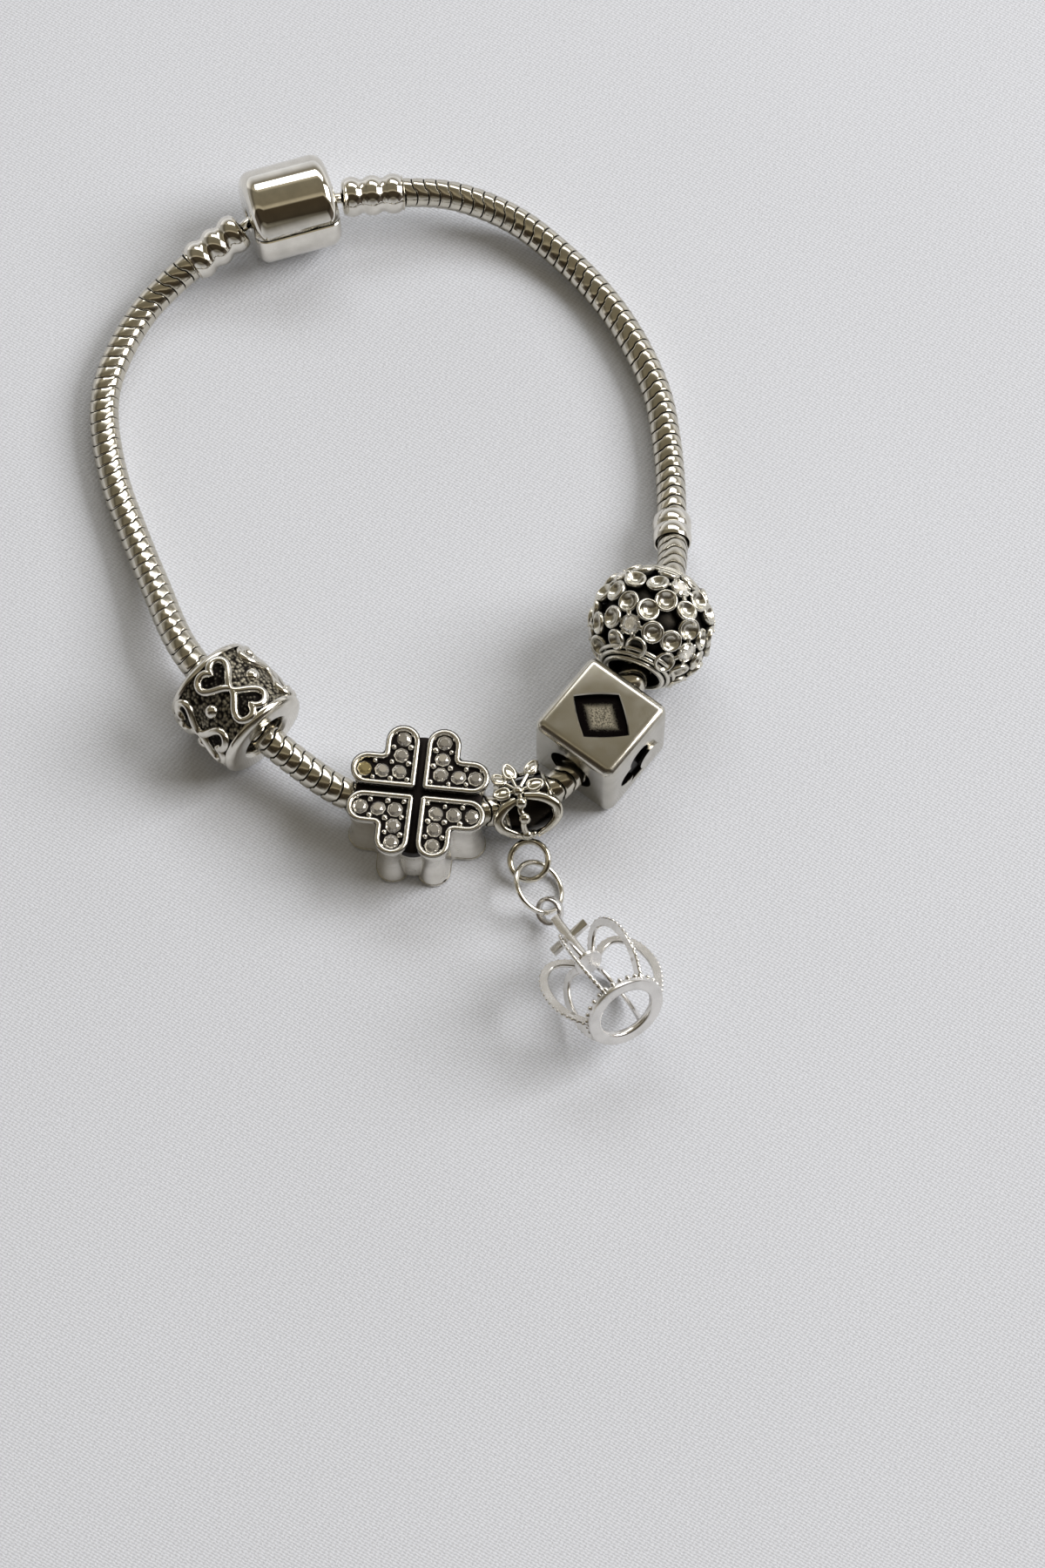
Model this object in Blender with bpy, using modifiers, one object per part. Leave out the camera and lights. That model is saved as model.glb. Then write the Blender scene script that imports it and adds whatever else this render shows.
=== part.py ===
"""Charm bracelet lying on a flat surface: a snake chain closed by a hinged barrel clasp,
with five bead charms, a stopper ring and a crown pendant on linked rings.
+X is to the right, +Y goes from the beads to the clasp, +Z is up, and z = 0 is the surface."""

import math

import bmesh
import bpy
from mathutils import Matrix, Vector

MM = 0.001

# Snake chain
CHAIN_D = 3.0 * MM
LINK_PITCH = 1.2 * MM
LINK_EDGE = 0.8  # share of the pitch where a link's plate ends
LINK_WAIST = 0.9  # radius between two links, as a share of the chain's radius
FLOOR_GAP = 0.02 * MM
CHAIN_SAG = 0.5  # share of a bead's clearance by which the chain lies below the bore's middle

# Barrel clasp
CLASP_D = 9.6 * MM
CLASP_LENGTH = 8.8 * MM
CLASP_DOME = 1.3 * MM
CLASP_WALL = 1.4 * MM
CLASP_HOLE_D = 2.4 * MM
CLASP_CAVITY_D = 5.6 * MM
CLASP_AT = (-11.2 * MM, 41.7 * MM)
CLASP_TURN = math.radians(17.2)
SEAM_TILT = math.radians(26.0)  # the seam's height on the side that faces the loop
SEAM_GAP = 0.14 * MM
KNUCKLE_R = 0.6 * MM
KNUCKLE_LENGTH = 2.2 * MM
HINGE_PIN_D = 0.5 * MM
HINGE_GAP = 0.12 * MM
SWING_GAP = 0.25 * MM  # room round a knuckle for the other half as the lid opens

# End caps
CAP_RIB_D = 4.1 * MM
CAP_GROOVE_D = 3.7 * MM
CAP_RIBS = 3
CAP_RIB_PITCH = 2.1 * MM
CAP_GRIP = 2.6 * MM  # length of chain held in a cap
CAP_FIT = 0.12 * MM
CAP_NECK_D = 1.1 * MM
CAP_NECK_SHOWS = 1.0 * MM
CAP_KNOB_D = 2.4 * MM
CAP_LEFT_AIM = (-22.1 * MM, 35.5 * MM, 2.6 * MM)
CAP_RIGHT_AIM = (1.0 * MM, 43.8 * MM, 4.45 * MM)

# Heart bead
HEART_BEAD_D = 10.3 * MM
HEART_BEAD_LENGTH = 8.7 * MM
HEART_BEAD_BORE = 4.6 * MM
HEART_RELIEF = 0.5 * MM
HEART_BEVEL = 0.7 * MM
HEART_WIRE = 0.6 * MM
HEART_PAIRS = 5
HEART_DOT_D = 0.9 * MM
HEART_AT = (-15.4 * MM, -13.5 * MM)
HEART_TURN = math.radians(-46.0)
HEART_ROLL = math.radians(21.0)

# Clover bead
CLOVER_SPAN = 13.4 * MM
CLOVER_THICK = 7.7 * MM
CLOVER_ARM = 3.3 * MM
CLOVER_GROOVE = 0.65 * MM
CLOVER_GROOVE_DEPTH = 0.7 * MM
CLOVER_RIM = 0.5 * MM
CLOVER_RECESS = 0.4 * MM
CLOVER_BORE = 4.6 * MM
STONE_D = 1.37 * MM
STONE_TABLE = 0.58  # table width as a share of the stone's width
STONE_CROWN = 0.3 * MM
STONE_GAP = 0.18 * MM  # least room between two stones, and from a stone to the rim
CLOVER_AT = (2.37 * MM, -23.3 * MM)
CLOVER_TURN = math.radians(-6.0)

# Openwork bail bead
BAIL_D = 6.6 * MM
BAIL_END_D = 5.0 * MM
BAIL_LENGTH = 5.0 * MM
BAIL_WALL = 0.5 * MM
BAIL_WINDOW = 1.5 * MM
BAIL_PETAL = 1.7 * MM
BAIL_AT = (12.65 * MM, -23.0 * MM)
BAIL_TURN = math.radians(17.0)
BAIL_RING_D = 4.35 * MM
BAIL_RING_WIRE = 0.62 * MM
BAIL_RING_AT = (13.0 * MM, -28.1 * MM, 1.75 * MM)
BAIL_RING_FACES = (-0.2, -0.3, 0.93)

# Jump ring
JUMP_D = 5.8 * MM
JUMP_WIRE = 0.55 * MM
JUMP_AT = (13.95 * MM, -30.88 * MM, 1.8 * MM)
JUMP_FACES = (0.56, 0.1, 0.82)

# Crown pendant
CROWN_LOOP_AT = (14.95 * MM, -33.3 * MM, 1.75 * MM)
CROWN_BASE_AT = (22.15 * MM, -45.8 * MM, 7.65 * MM)
CROWN_LOOP_D = 2.9 * MM
CROWN_LOOP_WIRE = 0.5 * MM
CROWN_LOOP_FACES = (-0.5, -0.5, 0.7)
CROWN_BASE_D = 8.0 * MM
CROWN_BASE_HOLE = 5.6 * MM
CROWN_BASE_THICK = 0.8 * MM
CROWN_ARCHES = 6
CROWN_BULGE_D = 11.3 * MM
CROWN_HUB_HEIGHT = 7.8 * MM
CROWN_HUB_D = 2.7 * MM
CROWN_HUB_SQUASH = 0.7
CROWN_WIRE = 0.75 * MM
CROWN_ROLL = math.radians(-22.0)
CROSS_SPAN = 4.3 * MM
CROSS_BAR = 0.9 * MM
CROSS_THICK = 0.6 * MM
CROSS_HEIGHT = 11.5 * MM
CROSS_ROLL = math.radians(21.0)

# Cube bead
CUBE_SIDE = 9.4 * MM
CUBE_EDGE = 0.65 * MM
CUBE_BORE = 4.8 * MM
CUBE_SUIT = 5.6 * MM
CUBE_SUIT_DEPTH = 0.35 * MM
CUBE_AT = (19.9 * MM, -16.15 * MM)
CUBE_TURN = math.radians(52.0)

# Flower ball
BALL_D = 12.6 * MM
BALL_RELIEF = 0.85 * MM
BALL_BORE = 4.8 * MM
BALL_COLLAR_D = 6.4 * MM
BALL_LENGTH = 10.8 * MM
BALL_PETALS = 6
BALL_PETAL_GAP = 0.3 * MM
BALL_FLOWER_GAP = 0.372 * MM
BALL_PETAL_RISE = 0.09 * MM  # a flat petal's rim stands this far beyond its middle
BALL_PETAL_ROLL = 0.5  # turn of a flower, as a share of the step between its petals
BALL_STONE_D = 1.9 * MM
BALL_FLOWERS_ROUND = 5
BALL_LATITUDE = math.radians(26.6)
BALL_AT = (24.9 * MM, -5.5 * MM)
BALL_TURN = math.radians(70.0)
BALL_ROLL = math.radians(3.0)

# Stopper ring
STOPPER_D = 3.9 * MM
STOPPER_LENGTH = 3.3 * MM
STOPPER_FIT = 0.16 * MM
STOPPER_WAIST = 0.92  # radius between its two ribs, as a share of its radius
STOPPER_AT = (27.15 * MM, 6.5 * MM)

# Bead axis heights: each bead rests on the surface
HEART_Z = HEART_BEAD_D / 2
CLOVER_Z = CLOVER_THICK / 2
BAIL_Z = BAIL_D / 2 + 0.1 * MM
CUBE_Z = CUBE_SIDE / 2
BALL_Z = BALL_D / 2
CLASP_Z = CLASP_D / 2


def in_bore(axis_height, bore):
    """Height of the chain's line inside a bead."""
    return axis_height - CHAIN_SAG * (bore - CHAIN_D) / 2


FLOOR_RUN = CHAIN_D / 2 + FLOOR_GAP
HEART_RUN = in_bore(HEART_Z, HEART_BEAD_BORE)
CLOVER_RUN = in_bore(CLOVER_Z, CLOVER_BORE)
CUBE_RUN = in_bore(CUBE_Z, CUBE_BORE)
BALL_RUN = in_bore(BALL_Z, BALL_BORE)

# The chain's line between its two caps, chosen by hand: x, y and height
ROUTE = [
    (-23.4 * MM, 34.3 * MM, 2.2 * MM),
    (-25.8 * MM, 31.7 * MM, 1.65 * MM),
    (-28.0 * MM, 27.6 * MM, FLOOR_RUN),
    (-29.4 * MM, 23.1 * MM, FLOOR_RUN),
    (-29.5 * MM, 19.0 * MM, FLOOR_RUN),
    (-28.3 * MM, 12.8 * MM, FLOOR_RUN),
    (-26.2 * MM, 6.8 * MM, 1.75 * MM),
    (-23.9 * MM, 0.9 * MM, 2.5 * MM),
    (-20.6 * MM, -6.9 * MM, 4.0 * MM),
    (*HEART_AT, HEART_RUN),
    (-9.6 * MM, -18.7 * MM, 4.2 * MM),
    (-4.0 * MM, -22.3 * MM, 3.8 * MM),
    (2.4 * MM, -23.35 * MM, CLOVER_RUN),
    (9.0 * MM, -23.7 * MM, 3.5 * MM),
    (*BAIL_AT, BAIL_Z),
    (16.1 * MM, -20.8 * MM, 3.7 * MM),
    (*CUBE_AT, CUBE_RUN),
    (23.1 * MM, -10.5 * MM, 5.5 * MM),
    (*BALL_AT, BALL_RUN),
    (26.6 * MM, -0.6 * MM, 5.6 * MM),
    (27.1 * MM, 3.0 * MM, 4.1 * MM),
    (*STOPPER_AT, 2.7 * MM),
    (27.1 * MM, 12.5 * MM, 1.6 * MM),
    (26.7 * MM, 17.5 * MM, FLOOR_RUN),
    (25.8 * MM, 22.6 * MM, FLOOR_RUN),
    (23.5 * MM, 28.3 * MM, FLOOR_RUN),
    (20.6 * MM, 33.1 * MM, FLOOR_RUN),
    (16.9 * MM, 37.4 * MM, 1.7 * MM),
    (11.4 * MM, 41.7 * MM, 2.6 * MM),
    (5.3 * MM, 43.7 * MM, 3.8 * MM),
]

WIRE_SIDES = 6
CHAIN_SIDES = 8
RING_STEPS = 16
BEAD_SIDES = 16
WELD = 1e-7
DRAW_SCALE = 1000.0  # outlines are filled enlarged, so that the fill keeps their small steps


# Scene, collections and materials

def clear_scene():
    for item in list(bpy.data.objects):
        bpy.data.objects.remove(item, do_unlink=True)


def collection(name):
    made = bpy.data.collections.new(name)
    bpy.context.scene.collection.children.link(made)
    return made


def metal(name, colour, roughness, metallic=1.0):
    made = bpy.data.materials.new(name)
    made.use_nodes = True
    shader = made.node_tree.nodes["Principled BSDF"]
    shader.inputs["Base Color"].default_value = (*colour, 1.0)
    shader.inputs["Roughness"].default_value = roughness
    shader.inputs["Metallic"].default_value = metallic
    made.diffuse_color = (*colour, 1.0)
    return made


def part(name, mesh, matrix, material):
    """One sub-part of the bracelet as an object of its own."""
    mesh.materials.clear()
    mesh.materials.append(material)
    made = bpy.data.objects.new(name, mesh)
    made.matrix_world = matrix
    PARTS.objects.link(made)
    mesh.shade_smooth()
    mesh.set_sharp_from_angle(angle=math.radians(30.0))
    return made


def cutter(name, mesh, matrix):
    made = bpy.data.objects.new(name, mesh)
    made.matrix_world = matrix
    made.hide_render = True
    made.display_type = "WIRE"
    CUTTERS.objects.link(made)
    return made


def boolean(target, tool, operation, own_overlaps=False):
    step = target.modifiers.new(tool.name, "BOOLEAN")
    step.operation = operation
    step.object = tool
    step.solver = "EXACT"
    step.use_self = own_overlaps
    return step


# Mesh builders

def evaluated_mesh(item):
    """The item's mesh with its modifiers, in its own space; the item is then removed."""
    bpy.context.view_layer.update()
    found = item.evaluated_get(bpy.context.evaluated_depsgraph_get())
    mesh = bpy.data.meshes.new_from_object(found)
    bpy.data.objects.remove(item, do_unlink=True)
    return mesh


def temporary(name, data):
    made = bpy.data.objects.new(name, data)
    CUTTERS.objects.link(made)
    return made


def welded(mesh):
    bm = bmesh.new()
    bm.from_mesh(mesh)
    bmesh.ops.remove_doubles(bm, verts=bm.verts, dist=WELD)
    bm.to_mesh(mesh)
    bm.free()
    return mesh


def turned(profile, sides, closed=False):
    """A profile of (radius, height) turned about Z; it runs down its outer side."""
    mesh = bpy.data.meshes.new("profile")
    points = [(radius, 0.0, height) for radius, height in profile]
    edges = [(i, i + 1) for i in range(len(points) - 1)]
    if closed:
        edges.append((len(points) - 1, 0))
    mesh.from_pydata(points, edges, [])
    item = temporary("turning", mesh)
    screw = item.modifiers.new("turn", "SCREW")
    screw.axis = "Z"
    screw.angle = 2 * math.pi
    screw.steps = sides
    screw.render_steps = sides
    screw.use_merge_vertices = True
    screw.merge_threshold = WELD
    return evaluated_mesh(item)


def tube(points, wire, sides, widths=None, closed=False):
    """A round wire along points; widths are shares of its thickness at each point."""
    curve = bpy.data.curves.new("wire", "CURVE")
    curve.dimensions = "3D"
    curve.bevel_depth = wire / 2
    curve.bevel_resolution = (sides - 4) // 2
    curve.use_fill_caps = not closed
    curve.render_resolution_u = 0
    spline = curve.splines.new("POLY")
    spline.points.add(len(points) - 1)
    for i, point in enumerate(points):
        spline.points[i].co = (*point, 1.0)
        spline.points[i].radius = widths[i] if widths else 1.0
    spline.use_cyclic_u = closed
    return welded(evaluated_mesh(temporary("wire", curve)))


def plate(outlines, thickness):
    """A flat plate about z = 0 from closed outlines of (x, y); a second outline is a hole."""
    curve = bpy.data.curves.new("outline", "CURVE")
    curve.dimensions = "2D"
    curve.fill_mode = "BOTH"
    curve.extrude = thickness / 2 * DRAW_SCALE
    curve.render_resolution_u = 0
    for outline in outlines:
        spline = curve.splines.new("POLY")
        spline.points.add(len(outline) - 1)
        for point, (x, y) in zip(spline.points, outline):
            point.co = (x * DRAW_SCALE, y * DRAW_SCALE, 0.0, 1.0)
        spline.use_cyclic_u = True
    mesh = evaluated_mesh(temporary("outline", curve))
    mesh.transform(Matrix.Scale(1 / DRAW_SCALE, 4))
    return welded(mesh)


def cone(low, high, depth, sides):
    """A cone or cylinder about Z from z = 0 up, with its low and high radius."""
    bm = bmesh.new()
    shift = Matrix.Translation((0, 0, depth / 2))
    bmesh.ops.create_cone(bm, cap_ends=True, segments=sides, radius1=low, radius2=high,
                          depth=depth, matrix=shift)
    return to_mesh(bm)


def ball(radius, around, up, squash=(1, 1, 1)):
    bm = bmesh.new()
    bmesh.ops.create_uvsphere(bm, u_segments=around, v_segments=up, radius=radius,
                              matrix=Matrix.Diagonal((*squash, 1)))
    return to_mesh(bm)


def block(x, y, z):
    bm = bmesh.new()
    bmesh.ops.create_cube(bm, size=1.0, matrix=Matrix.Diagonal((x, y, z, 1)))
    return to_mesh(bm)


def to_mesh(bm):
    mesh = bpy.data.meshes.new("piece")
    bm.to_mesh(mesh)
    bm.free()
    return mesh


def joined(pieces):
    """Several (mesh, matrix) pairs in one mesh."""
    bm = bmesh.new()
    for mesh, matrix in pieces:
        copy = mesh.copy()
        copy.transform(matrix)
        bm.from_mesh(copy)
        bpy.data.meshes.remove(copy)
    return to_mesh(bm)


# Directions and curves

def facing(direction, roll=0.0):
    """A rotation that turns Z to the direction, with its own X kept level."""
    axis = Vector(direction).normalized()
    level = Vector((0, 0, 1)).cross(axis)
    if level.length < 1e-6:
        level = Vector((1, 0, 0))
    level.normalize()
    third = axis.cross(level)
    turn = Matrix((level, third, axis)).transposed().to_4x4()
    return turn @ Matrix.Rotation(roll, 4, "Z")


def placed(at, direction, roll=0.0):
    return Matrix.Translation(at) @ facing(direction, roll)


def level_axis(turn):
    return Vector((math.cos(turn), math.sin(turn), 0.0))


def arc(centre, radius, start, end, steps):
    for i in range(steps + 1):
        angle = start + (end - start) * i / steps
        yield (centre[0] + radius * math.cos(angle), centre[1] + radius * math.sin(angle))


def circle(radius, steps):
    return [(radius * math.cos(2 * math.pi * i / steps), radius * math.sin(2 * math.pi * i / steps))
            for i in range(steps)]


def smooth(points, share):
    """A centripetal curve through the points, sampled at a number of shares between them."""
    points = [Vector(p) for p in points]
    ends = [2 * points[0] - points[1], *points, 2 * points[-1] - points[-2]]
    samples = []
    for a, b, c, d in zip(ends, ends[1:], ends[2:], ends[3:]):
        t1 = math.sqrt((b - a).length)
        t2 = t1 + math.sqrt((c - b).length)
        t3 = t2 + math.sqrt((d - c).length)
        for i in range(share):
            t = t1 + (t2 - t1) * i / share
            ab = a.lerp(b, t / t1)
            bc = b.lerp(c, (t - t1) / (t2 - t1))
            cd = c.lerp(d, (t - t2) / (t3 - t2))
            abc = ab.lerp(bc, t / t2)
            bcd = bc.lerp(cd, (t - t1) / (t3 - t1))
            samples.append(abc.lerp(bcd, (t - t1) / (t2 - t1)))
    samples.append(points[-1])
    return samples


def along(samples, stations):
    """Points at the given lengths along a sampled curve."""
    found, walked, i = [], 0.0, 0
    for station in stations:
        while i < len(samples) - 2 and walked + (samples[i + 1] - samples[i]).length < station:
            walked += (samples[i + 1] - samples[i]).length
            i += 1
        step = samples[i + 1] - samples[i]
        found.append(samples[i] + step * ((station - walked) / step.length))
    return found


# Outlines

def heart_outline(width, height, steps):
    """A heart with its tip at the origin and its two round lobes up +Y."""
    lobe = width / 4
    low = math.radians(-35)
    points = [(0.0, 0.0)]
    points += arc((lobe, height - lobe), lobe, low, math.pi, steps)
    points += list(arc((-lobe, height - lobe), lobe, 0.0, math.pi - low, steps))[1:]
    return points


def leaf_outline(inset=0.0):
    """A heart leaf of the clover: two round-ended arms that meet in a square corner."""
    low = CLOVER_GROOVE / 2 + inset
    high = CLOVER_GROOVE / 2 + CLOVER_ARM - inset
    radius = (high - low) / 2
    middle = (low + high) / 2
    end = CLOVER_SPAN / 2 - inset - radius
    points = [(low, low)]
    points += arc((end, middle), radius, -math.pi / 2, math.pi / 2, 4)
    points.append((high, high))
    points += arc((middle, end), radius, 0.0, math.pi, 4)
    return points


# Sub-parts

def clasp_frame():
    """The clasp's middle, its long axis, the seam's direction and the lid's side."""
    middle = Vector((*CLASP_AT, CLASP_Z))
    axis = level_axis(CLASP_TURN)
    inward = axis.cross(Vector((0, 0, 1)))
    seam = inward * math.cos(SEAM_TILT) + Vector((0, 0, math.sin(SEAM_TILT)))
    lid = seam.cross(axis)
    return middle, axis, seam, lid


def clasp_shell():
    half = CLASP_LENGTH / 2
    outer = CLASP_D / 2
    straight = half - CLASP_DOME
    inside = half - CLASP_WALL
    hole = CLASP_HOLE_D / 2
    dome = [(outer - CLASP_DOME * (1 - math.cos(a)), straight + CLASP_DOME * math.sin(a))
            for a in (math.radians(80), math.radians(45), math.radians(15))]
    profile = [(hole, half), *dome, (outer, 0.0)]
    profile += [(r, -z) for r, z in reversed(dome)]
    profile += [(hole, -half), (hole, -inside)]
    profile += [(CLASP_CAVITY_D / 2, -inside), (CLASP_CAVITY_D / 2, inside), (hole, inside)]
    return turned(profile, 20, closed=True)


def clasp():
    middle, axis, seam, lid_side = clasp_frame()
    frame = Matrix((seam, lid_side, -axis)).transposed().to_4x4()
    frame.translation = middle
    hinge_out = CLASP_D / 2 - KNUCKLE_R
    hinge = Matrix.Translation((-hinge_out, 0, 0))
    size = 2 * CLASP_D
    clear_r = KNUCKLE_R + SWING_GAP
    span = KNUCKLE_LENGTH / 2 + HINGE_GAP
    side_at = KNUCKLE_LENGTH / 2 + HINGE_GAP

    def rod(radius, start, length):
        return cone(radius, radius, length, 12), hinge @ Matrix.Translation((0, 0, start))

    def half_shell(name, sign, room, knuckles, material):
        item = part(name, clasp_shell(), frame, material)
        away = Matrix.Translation((0, -sign * (size / 2 - SEAM_GAP / 2), 0))
        boolean(item, cutter(name + "_half", joined([(block(size, size, size), away)]), frame),
                "DIFFERENCE")
        boolean(item, cutter(name + "_room", joined(room), frame), "DIFFERENCE")
        for i, knuckle in enumerate(knuckles):
            boolean(item, cutter(f"{name}_knuckle_{i}", joined([knuckle]), frame), "UNION")
        hole = rod(HINGE_PIN_D / 2 + HINGE_GAP, -CLASP_LENGTH / 2, CLASP_LENGTH)
        boolean(item, cutter(name + "_pin_hole", joined([hole]), frame), "DIFFERENCE")
        return item

    middle_room = [rod(clear_r, -span, 2 * span)]
    side_room = [rod(clear_r, KNUCKLE_LENGTH / 2, CLASP_LENGTH / 2),
                 rod(clear_r, -KNUCKLE_LENGTH / 2 - CLASP_LENGTH / 2, CLASP_LENGTH / 2)]
    side_knuckles = [rod(KNUCKLE_R, side_at, KNUCKLE_LENGTH),
                     rod(KNUCKLE_R, -side_at - KNUCKLE_LENGTH, KNUCKLE_LENGTH)]
    middle_knuckle = [rod(KNUCKLE_R, -KNUCKLE_LENGTH / 2, KNUCKLE_LENGTH)]
    half_shell("clasp_base", -1, middle_room, side_knuckles, metal("clasp_silver", (0.78, 0.77, 0.74), 0.1))
    lid = half_shell("clasp_lid", 1, side_room, middle_knuckle, metal("lid_silver", (0.8, 0.79, 0.76), 0.08))
    pin_length = 3 * KNUCKLE_LENGTH + 2 * HINGE_GAP
    part("clasp_hinge_pin", cone(HINGE_PIN_D / 2, HINGE_PIN_D / 2, pin_length, 10),
         frame @ hinge @ Matrix.Translation((0, 0, -pin_length / 2)),
         metal("pin_steel", (0.6, 0.6, 0.6), 0.3))
    swing = bpy.data.objects.new("clasp_hinge_axis", None)
    swing.matrix_world = frame @ hinge
    PARTS.objects.link(swing)
    bpy.context.view_layer.update()
    lid.parent = swing
    lid.matrix_parent_inverse = swing.matrix_world.inverted()


def cap_line(side):
    """Where a cap leaves the clasp's end wall, and its direction to the chain."""
    middle, axis, _, _ = clasp_frame()
    start = middle + side * axis * (CLASP_LENGTH - CLASP_WALL) / 2
    aim = Vector(CAP_RIGHT_AIM if side > 0 else CAP_LEFT_AIM)
    return start, (aim - start).normalized()


def cap_length():
    return CLASP_WALL / 2 + CAP_NECK_SHOWS + CAP_RIBS * CAP_RIB_PITCH


def end_cap(name, side):
    start, line = cap_line(side)
    knob = CAP_KNOB_D / 2
    neck = CAP_NECK_D / 2
    rib = CAP_RIB_D / 2
    groove = CAP_GROOVE_D / 2
    bore = CHAIN_D / 2 + CAP_FIT
    shoulder = -CLASP_WALL / 2 - CAP_NECK_SHOWS
    knob_at = CLASP_WALL / 2 + knob + HINGE_GAP
    lean = math.acos(neck / knob)
    profile = [(0.0, knob_at + knob)]
    profile += [(knob * math.sin(a), knob_at + knob * math.cos(a))
                for a in (math.radians(45), math.radians(90), math.radians(90) + lean)]
    profile += [(neck, shoulder), (groove * 0.85, shoulder)]
    for i in range(CAP_RIBS):
        top = shoulder - i * CAP_RIB_PITCH
        profile += [(groove, top - 0.15 * CAP_RIB_PITCH), (rib, top - 0.35 * CAP_RIB_PITCH),
                    (rib, top - 0.7 * CAP_RIB_PITCH), (groove, top - 0.9 * CAP_RIB_PITCH)]
    tail = shoulder - CAP_RIBS * CAP_RIB_PITCH
    depth = tail + CAP_GRIP + CAP_FIT
    profile += [(groove, tail), (bore, tail), (bore, depth), (0.0, depth)]
    part(name, turned(profile, 12), placed(start, -line), metal(name + "_silver", (0.8, 0.79, 0.76), 0.12))


def chain_line():
    """The chain's whole line, from inside one cap to inside the other."""
    ends = []
    for side in (-1, 1):
        start, line = cap_line(side)
        tail = start + line * cap_length()
        ends.append((tail - line * CAP_GRIP, tail))
    return [*ends[0], *ROUTE, *reversed(ends[1])]


def snake_chain():
    samples = smooth(chain_line(), 24)
    length = sum((b - a).length for a, b in zip(samples, samples[1:]))
    links = round(length / LINK_PITCH)
    pitch = length / links
    stations = []
    widths = []
    for i in range(links):
        stations += [i * pitch, (i + LINK_EDGE) * pitch]
        widths += [LINK_WAIST, 1.0]
    stations.append(length)
    widths.append(LINK_WAIST)
    mesh = tube(along(samples, stations), CHAIN_D, CHAIN_SIDES, widths)
    part("snake_chain", mesh, Matrix(), metal("chain_silver", (0.72, 0.7, 0.66), 0.2))


def heart_bead():
    half = HEART_BEAD_LENGTH / 2
    outer = HEART_BEAD_D / 2
    ground = outer - HEART_RELIEF
    bore = HEART_BEAD_BORE / 2
    rim = half - 2 * HEART_BEVEL
    profile = [(outer - 2 * HEART_BEVEL, half), (outer - HEART_BEVEL / 2, half - HEART_BEVEL / 2),
               (outer, half - HEART_BEVEL), (outer, rim), (ground, rim), (ground, -rim), (outer, -rim),
               (outer, HEART_BEVEL - half), (outer - HEART_BEVEL / 2, HEART_BEVEL / 2 - half),
               (outer - 2 * HEART_BEVEL, -half), (bore + HEART_BEVEL / 2, -half), (bore, HEART_BEVEL - half),
               (bore, half - HEART_BEVEL), (bore + HEART_BEVEL / 2, half)]
    frame = placed((*HEART_AT, HEART_Z), level_axis(HEART_TURN), HEART_ROLL)
    bead = part("heart_bead", turned(profile, BEAD_SIDES, closed=True), frame,
                metal("antique_silver", (0.62, 0.6, 0.56), 0.25))
    height = rim + HEART_BEVEL / 4
    width = 2 * math.pi * outer / HEART_PAIRS * 0.67
    shape = heart_outline(width, height, 4)
    inner = heart_outline(width - 2 * HEART_WIRE, height - 2.6 * HEART_WIRE, 4)
    hole = [(x, y + 1.6 * HEART_WIRE) for x, y in inner]
    thick = 2 * HEART_RELIEF
    heart = plate([shape, hole], thick)
    for vertex in heart.vertices:
        radius = outer - thick / 2 + vertex.co.z
        angle = vertex.co.x / outer
        vertex.co = (radius * math.cos(angle), radius * math.sin(angle), vertex.co.y - HEART_WIRE / 3)
    dot = ball(HEART_DOT_D / 2, 6, 4)
    flip = Matrix.Rotation(math.pi, 4, "X")
    step = 2 * math.pi / HEART_PAIRS
    relief = []
    for i in range(HEART_PAIRS):
        turn = Matrix.Rotation(i * step, 4, "Z")
        relief += [(heart, turn), (heart, turn @ flip)]
        between = Matrix.Rotation((i + 0.5) * step, 4, "Z")
        relief.append((dot, between @ Matrix.Translation((ground + HEART_DOT_D / 8, 0, 0))))
    boolean(bead, cutter("heart_relief", joined(relief), frame), "UNION", own_overlaps=True)


def recessed_leaf():
    """A leaf with a sunk floor inside its rim on both faces."""
    half = CLOVER_THICK / 2
    floor = half - CLOVER_RECESS
    outer = leaf_outline()
    inner = leaf_outline(CLOVER_RIM)
    count = len(outer)
    rows = [(inner, -floor), (inner, -half), (outer, -half), (outer, half), (inner, half), (inner, floor)]
    points = [(x, y, height) for outline, height in rows for x, y in outline]
    faces = [[row * count + i, row * count + (i + 1) % count, (row + 1) * count + (i + 1) % count,
              (row + 1) * count + i] for row in range(len(rows) - 1) for i in range(count)]
    last = (len(rows) - 1) * count
    faces += [list(range(count))[::-1], list(range(last, last + count))]
    mesh = bpy.data.meshes.new("leaf")
    mesh.from_pydata(points, [], faces)
    return mesh


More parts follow.
